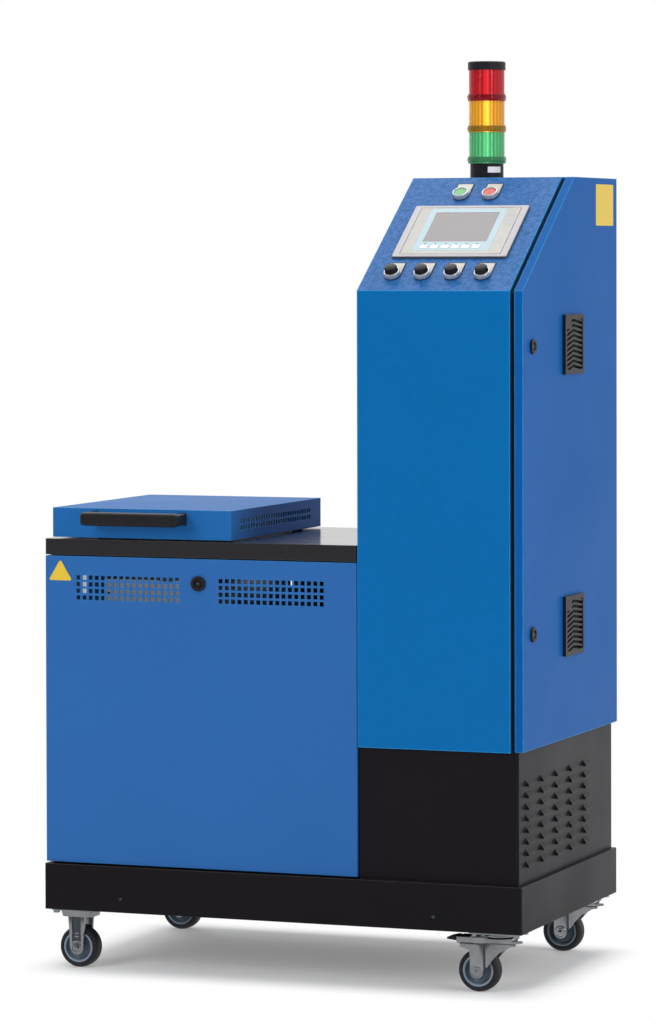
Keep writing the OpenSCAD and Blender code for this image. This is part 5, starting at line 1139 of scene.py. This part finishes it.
class MELT_OT_tank_trim(bpy.types.Operator):
    """Straps and rivets of the tank's jacket, the hose nipples' open ends in painted shade, a dark sheet
    as painted shade behind the rear vents, and a block glowing as painted light on the left sheet.
    """

    bl_idname = "melt.tank_trim"
    bl_label = "Tank trim"

    def execute(self, context):
        (x0, y0, z0), (x1, y1, z1) = JACKET_LO, JACKET_HI
        bm = bmesh.new()
        for z in (462, 580, 700):
            add_ring_plate(bm, round_box(x0 - 0.9, y0 - 0.9, x1 + 0.9, y1 + 0.9, 2),
                           round_box(x0 - 0.1, y0 - 0.1, x1 + 0.1, y1 + 0.1, 1.2), 0, 16,
                           upright(0, 0, z))
            buckle = on_front((x0 + x1) / 2, y0 - 0.9, z + 8)
            add_prism(bm, round_box(-14, -10, 14, 10, 2), 0, 2.5, buckle, taper=0.6)
            add_lathe(bm, [(0, 5.4), (3.6, 5.4), (4.2, 4.8), (4.2, 2.4)], buckle, 20)
        make("jacket_straps", bm, PAINTS["galvanized"], "unit", soften=0.2)
        bm = bmesh.new()
        for x in (x0 + 9, x1 - 9):
            for i in range(9):
                place = on_front(x, y0, z0 + 22 + 45 * i)
                add_lathe(bm, [(0, 1.5), (1.4, 1.3), (2.4, 0.6), (2.6, 0)], place, 16)
        make("jacket_rivets", bm, PAINTS["steel"], "unit")
        # A dark sheet behind the rear vents: painted shade that keeps the backdrop from showing through
        # them.
        bm = bmesh.new()
        add_block(bm, (-153, 459, 635), (-64, 460.9, 712), upright(0, 0, 0))
        make("vent_shade_sheet", bm, PAINTS["frame_paint"], "unit", soften=0.3)
        # A glowing block on the left sheet's inside: painted light that shows as a bright bar through the
        # grille.
        bm = bmesh.new()
        add_block(bm, (-452.9, 154, 668), (-446, 166, 714), upright(0, 0, 0))
        make("side_glow_patch", bm, PAINTS["painted_glow"], "unit", soften=0.5)
        # Flat dark discs at the hose nipples' ends: painted shade of their openings.
        bm = bmesh.new()
        for i in range(4):
            place = on_rear(-268 + 30 * (i - 1.5), 487, 403)
            add_lathe(bm, [(0, 0.05), (4.4, 0.05), (5.2, 0.4), (5.9, 0.4), (5.9, 0)], place, 28)
        make("nipple_opening_shade", bm, PAINTS["dark_device"], "unit")
        return {"FINISHED"}


class MELT_OT_handle(bpy.types.Operator):
    """The lid's round-edged bridge handle in place of the plain one."""

    bl_idname = "melt.handle"
    bl_label = "Lid handle"

    def execute(self, context):
        (x0, y0, z0), (x1, y1, z1) = HANDLE_LO, HANDLE_HI
        mid_z, half, deep = (z0 + z1) / 2, (z1 - z0) / 2, 17.0
        bm = bmesh.new()
        rings = []
        for along, inset in ((0, 6.5), (0.9, 4), (2.6, 1.9), (5.5, 0.6), (10, 0)):
            rings.append((x0 + along, inset))
        rings += [(x0 + x1 - x, inset) for x, inset in reversed(rings)]
        loops = []
        for x, inset in rings:
            loop = round_box(inset, -half + inset, deep - inset * 0.4, half - inset,
                             max(0.6, 6.2 - inset * 0.7), 5)
            loops.append([bm.verts.new(at(x, y0 + p[0], mid_z + p[1])) for p in loop])
        add_skin(bm, loops)
        for x, wide in ((x0 + 4, 15), (x1 - 16, 14)):
            loops = []
            for y, inset in ((y0 + 10, 1.5), (y0 + 22, 2.5), (y1 - 6, 2.5), (y1 - 0.5, 0.5)):
                loop = round_box(x + inset / 2, mid_z - half + inset, x + wide - inset / 2,
                                 mid_z + half - inset, 3, 4)
                loops.append([bm.verts.new(at(p[0], y, p[1])) for p in loop])
            add_skin(bm, loops)
        handle = make("lid_handle_bar", bm, PAINTS["black_plastic"], "lid")
        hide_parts("lid_handle")
        return {"FINISHED"}


class MELT_OT_plates(bpy.types.Operator):
    """The two bare yellow plates."""

    bl_idname = "melt.plates"
    bl_label = "Yellow plates"

    def execute(self, context):
        plate = context.scene.melt_sizes.plate
        bm = bmesh.new()
        corners = [(-449, 705), (-402.4, 705), (-425.7, 743)]
        add_prism(bm, round_corners(corners, 2.5), 0, plate, on_front(0, 0, 0))
        make("yellow_triangle", bm, PAINTS["yellow_plate"], "front_panel")
        bm = bmesh.new()
        add_prism(bm, round_box(419, 1345, 523.5, 1420.6, 2.5), 0, plate, on_side(DOOR_X, 0, 0))
        make("yellow_rectangle", bm, PAINTS["yellow_plate"], "side_door")
        return {"FINISHED"}


class MELT_OT_screws(bpy.types.Operator):
    """Screws in the base's skirt, with their sockets."""

    bl_idname = "melt.screws"
    bl_label = "Screws"

    def execute(self, context):
        r = context.scene.melt_sizes.screw
        bm = bmesh.new()
        for place in [on_front(x, -7, 132) for x in (-305.6, 293)] + \
                [on_rear(x, 547, 132) for x in (-305.6, 293)]:
            add_lathe(bm, [(0, 0.9), (1.6, 0.9), (1.9, 2.2), (r - 1, 2.4), (r - 0.2, 1.4), (r, 0)],
                      place, 28)
        make("base_screws", bm, PAINTS["zinc_shade"], "unit")
        return {"FINISHED"}


class MELT_OT_stage(bpy.types.Operator):
    """Floor, world, lights and the camera at the photograph's place."""

    bl_idname = "melt.stage"
    bl_label = "Stage"

    def execute(self, context):
        scene = context.scene
        side = scene.melt_sizes.floor
        bm = bmesh.new()
        bmesh.ops.create_grid(bm, x_segments=1, y_segments=1, size=side)
        mesh = bpy.data.meshes.new("floor")
        bm.to_mesh(mesh)
        bm.free()
        floor = bpy.data.objects.new("floor", mesh)
        scene.collection.objects.link(floor)
        mesh.materials.append(self.floor_paint())
        self.world(scene)
        for name, place, aim, size, watts, glossy in (
                ("key_light", (-1.9, -4.0, 2.4), (0, 0, 0.7), (2.0, 2.0), 92, False),
                ("side_light", (3.6, -0.8, 1.9), (0.2, 0.2, 0.9), (2.2, 2.2), 58, False),
                ("top_light", (0.0, 0.1, 3.9), (0, 0.1, 0), (2.6, 2.6), 50, False),
                ("rear_light", (-2.4, 2.6, 2.2), (0, 0.2, 0.7), (2.0, 2.0), 35, False),
                ("strip_light", (3.1, -2.1, 1.9), (0.1, 0.1, 1.3), (0.22, 1.9), 9, True)):
            lamp = bpy.data.lights.new(name, "AREA")
            lamp.shape = "RECTANGLE"
            lamp.size, lamp.size_y = size
            lamp.energy = watts
            holder = bpy.data.objects.new(name, lamp)
            holder.location = place
            holder.visible_glossy = glossy
            look = Vector(aim) - Vector(place)
            holder.rotation_mode = "QUATERNION"
            holder.rotation_quaternion = look.to_track_quat("-Z", "Y")
            scene.collection.objects.link(holder)
        self.camera(scene)
        scene.view_settings.view_transform = "Standard"
        return {"FINISHED"}

    def floor_paint(self):
        """Pale floor near the unit, plain white further out, and grey as a mirrored thing."""
        material = bpy.data.materials.new("floor")
        material.use_nodes = True
        tree = material.node_tree
        shader = tree.nodes["Principled BSDF"]
        shader.inputs["Base Color"].default_value = (0.88, 0.88, 0.88, 1.0)
        shader.inputs["Roughness"].default_value = 0.9
        shader.inputs["Specular IOR Level"].default_value = 0.1
        white = tree.nodes.new("ShaderNodeEmission")
        place = tree.nodes.new("ShaderNodeTexCoord")
        away = place.outputs["Object"]
        for operation, value in (("ABSOLUTE", None), ("SUBTRACT", (0.42, 0.25, 0.0)),
                                 ("MAXIMUM", (0.0, 0.0, 0.0)), ("LENGTH", None)):
            step = tree.nodes.new("ShaderNodeVectorMath")
            step.operation = operation
            tree.links.new(away, step.inputs[0])
            if value:
                step.inputs[1].default_value = value
            away = step.outputs["Value" if operation == "LENGTH" else "Vector"]
        fade = tree.nodes.new("ShaderNodeMapRange")
        fade.interpolation_type = "SMOOTHSTEP"
        fade.inputs["From Min"].default_value = 0.0
        fade.inputs["From Max"].default_value = 0.10
        fade.inputs["To Min"].default_value = 0.22
        tree.links.new(away, fade.inputs["Value"])
        path = tree.nodes.new("ShaderNodeLightPath")
        seen = link_math(tree, "MULTIPLY", fade.outputs["Result"], path.outputs["Is Camera Ray"])
        mix = tree.nodes.new("ShaderNodeMixShader")
        tree.links.new(seen, mix.inputs[0])
        tree.links.new(shader.outputs[0], mix.inputs[1])
        tree.links.new(white.outputs[0], mix.inputs[2])
        shade = tree.nodes.new("ShaderNodeEmission")
        shade.inputs["Color"].default_value = (0.97, 0.98, 1.0, 1.0)
        axes = tree.nodes.new("ShaderNodeSeparateXYZ")
        tree.links.new(place.outputs["Object"], axes.inputs[0])
        back = tree.nodes.new("ShaderNodeMapRange")
        for label, value in (("From Min", 0.1), ("From Max", 0.9), ("To Min", 0.40),
                             ("To Max", 0.95)):
            back.inputs[label].default_value = value
        tree.links.new(axes.outputs["Y"], back.inputs["Value"])
        tree.links.new(back.outputs["Result"], shade.inputs["Strength"])
        last = tree.nodes.new("ShaderNodeMixShader")
        tree.links.new(path.outputs["Is Glossy Ray"], last.inputs[0])
        tree.links.new(mix.outputs[0], last.inputs[1])
        tree.links.new(shade.outputs[0], last.inputs[2])
        tree.links.new(last.outputs[0], tree.nodes["Material Output"].inputs["Surface"])
        return material

    def world(self, scene):
        """Soft even light, and a white backdrop for the camera, glass and gloss."""
        world = bpy.data.worlds.new("studio")
        world.use_nodes = True
        scene.world = world
        tree = world.node_tree
        soft = tree.nodes["Background"]
        soft.inputs["Color"].default_value = (0.92, 0.95, 1.0, 1.0)
        soft.inputs["Strength"].default_value = 0.42
        white = tree.nodes.new("ShaderNodeBackground")
        white.inputs["Color"].default_value = (1, 1, 1, 1)
        gloss = tree.nodes.new("ShaderNodeBackground")
        place = tree.nodes.new("ShaderNodeTexCoord")
        axes = tree.nodes.new("ShaderNodeSeparateXYZ")
        tree.links.new(place.outputs["Generated"], axes.inputs[0])
        behind = tree.nodes.new("ShaderNodeMapRange")
        behind.inputs["From Min"].default_value = -0.7
        behind.inputs["From Max"].default_value = 0.5
        behind.inputs["To Min"].default_value = 0.1
        behind.inputs["To Max"].default_value = 1.0
        tree.links.new(axes.outputs["Y"], behind.inputs["Value"])
        over = tree.nodes.new("ShaderNodeMapRange")
        over.interpolation_type = "SMOOTHSTEP"
        over.inputs["From Min"].default_value = 0.35
        over.inputs["From Max"].default_value = 0.9
        over.inputs["To Min"].default_value = 1.0
        over.inputs["To Max"].default_value = 4.2
        tree.links.new(axes.outputs["Z"], over.inputs["Value"])
        bright = link_math(tree, "MULTIPLY", behind.outputs["Result"], over.outputs["Result"])
        tree.links.new(bright, gloss.inputs["Strength"])
        path = tree.nodes.new("ShaderNodeLightPath")
        first = tree.nodes.new("ShaderNodeMixShader")
        tree.links.new(path.outputs["Is Glossy Ray"], first.inputs[0])
        tree.links.new(soft.outputs[0], first.inputs[1])
        tree.links.new(gloss.outputs[0], first.inputs[2])
        seen = link_math(tree, "MAXIMUM", path.outputs["Is Camera Ray"],
                         path.outputs["Is Transmission Ray"])
        last = tree.nodes.new("ShaderNodeMixShader")
        tree.links.new(seen, last.inputs[0])
        tree.links.new(first.outputs[0], last.inputs[1])
        tree.links.new(white.outputs[0], last.inputs[2])
        tree.links.new(last.outputs[0], tree.nodes["World Output"].inputs["Surface"])

    def camera(self, scene):
        """The photograph's view, worked out from the unit's straight edges."""
        focal, high = 4365.4, 1024
        centre_x, centre_y = 333.6, 263.7
        shift_down = 0.15
        yaw, pitch, roll = (math.radians(v) for v in (21.024, -0.156, -0.1345))
        pitch -= math.atan((high / 2 - centre_y - shift_down * high) / focal)
        data = bpy.data.cameras.new("camera")
        data.sensor_fit = "VERTICAL"
        data.sensor_height = 36
        data.lens = focal / high * data.sensor_height
        data.shift_x = (656 / 2 - centre_x) / high
        data.shift_y = -shift_down
        data.clip_start, data.clip_end = 0.1, 100
        ahead = Vector((-math.sin(yaw) * math.cos(pitch), math.cos(yaw) * math.cos(pitch),
                        math.sin(pitch)))
        right = Vector((math.cos(yaw), math.sin(yaw), 0))
        above = right.cross(ahead)
        across = right * math.cos(roll) + above * math.sin(roll)
        above = above * math.cos(roll) - right * math.sin(roll)
        camera = bpy.data.objects.new("camera", data)
        turn = Matrix((across, above, -ahead)).transposed()
        camera.matrix_world = Matrix.Translation(at(2867.8, -7188.1, 1298.3)) @ turn.to_4x4()
        scene.collection.objects.link(camera)
        scene.camera = camera


class MELT_PT_panel(bpy.types.Panel):
    """Lists the steps and the values in the sidebar."""

    bl_idname = "MELT_PT_panel"
    bl_label = "Melt Unit"
    bl_space_type = "VIEW_3D"
    bl_region_type = "UI"
    bl_category = "Melt Unit"

    def draw(self, context):
        for step in STEPS:
            self.layout.operator(step.bl_idname)
        for group in (context.scene.melt_sizes, context.scene.melt_colours):
            for key in group.__annotations__:
                self.layout.prop(group, key)


STEPS = (MELT_OT_finishes, MELT_OT_wheels, MELT_OT_forks, MELT_OT_display, MELT_OT_controls,
         MELT_OT_legend_shadows, MELT_OT_tower, MELT_OT_locks, MELT_OT_filters,
         MELT_OT_cabinet_devices, MELT_OT_tank_trim, MELT_OT_handle, MELT_OT_plates,
         MELT_OT_screws, MELT_OT_stage)
CLASSES = (MELT_PG_colours, MELT_PG_sizes) + STEPS + (MELT_PT_panel,)


def register():
    """Adds the classes and the two groups of values."""
    for cls in CLASSES:
        bpy.utils.register_class(cls)
    bpy.types.Scene.melt_colours = bpy.props.PointerProperty(type=MELT_PG_colours)
    bpy.types.Scene.melt_sizes = bpy.props.PointerProperty(type=MELT_PG_sizes)


def unregister():
    """Takes them away again."""
    del bpy.types.Scene.melt_sizes
    del bpy.types.Scene.melt_colours
    for cls in reversed(CLASSES):
        bpy.utils.unregister_class(cls)


def main():
    """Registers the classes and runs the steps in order."""
    register()
    for step in STEPS:
        family, name = step.bl_idname.split(".")
        getattr(getattr(bpy.ops, family), name)()


if __name__ == "__main__":
    main()
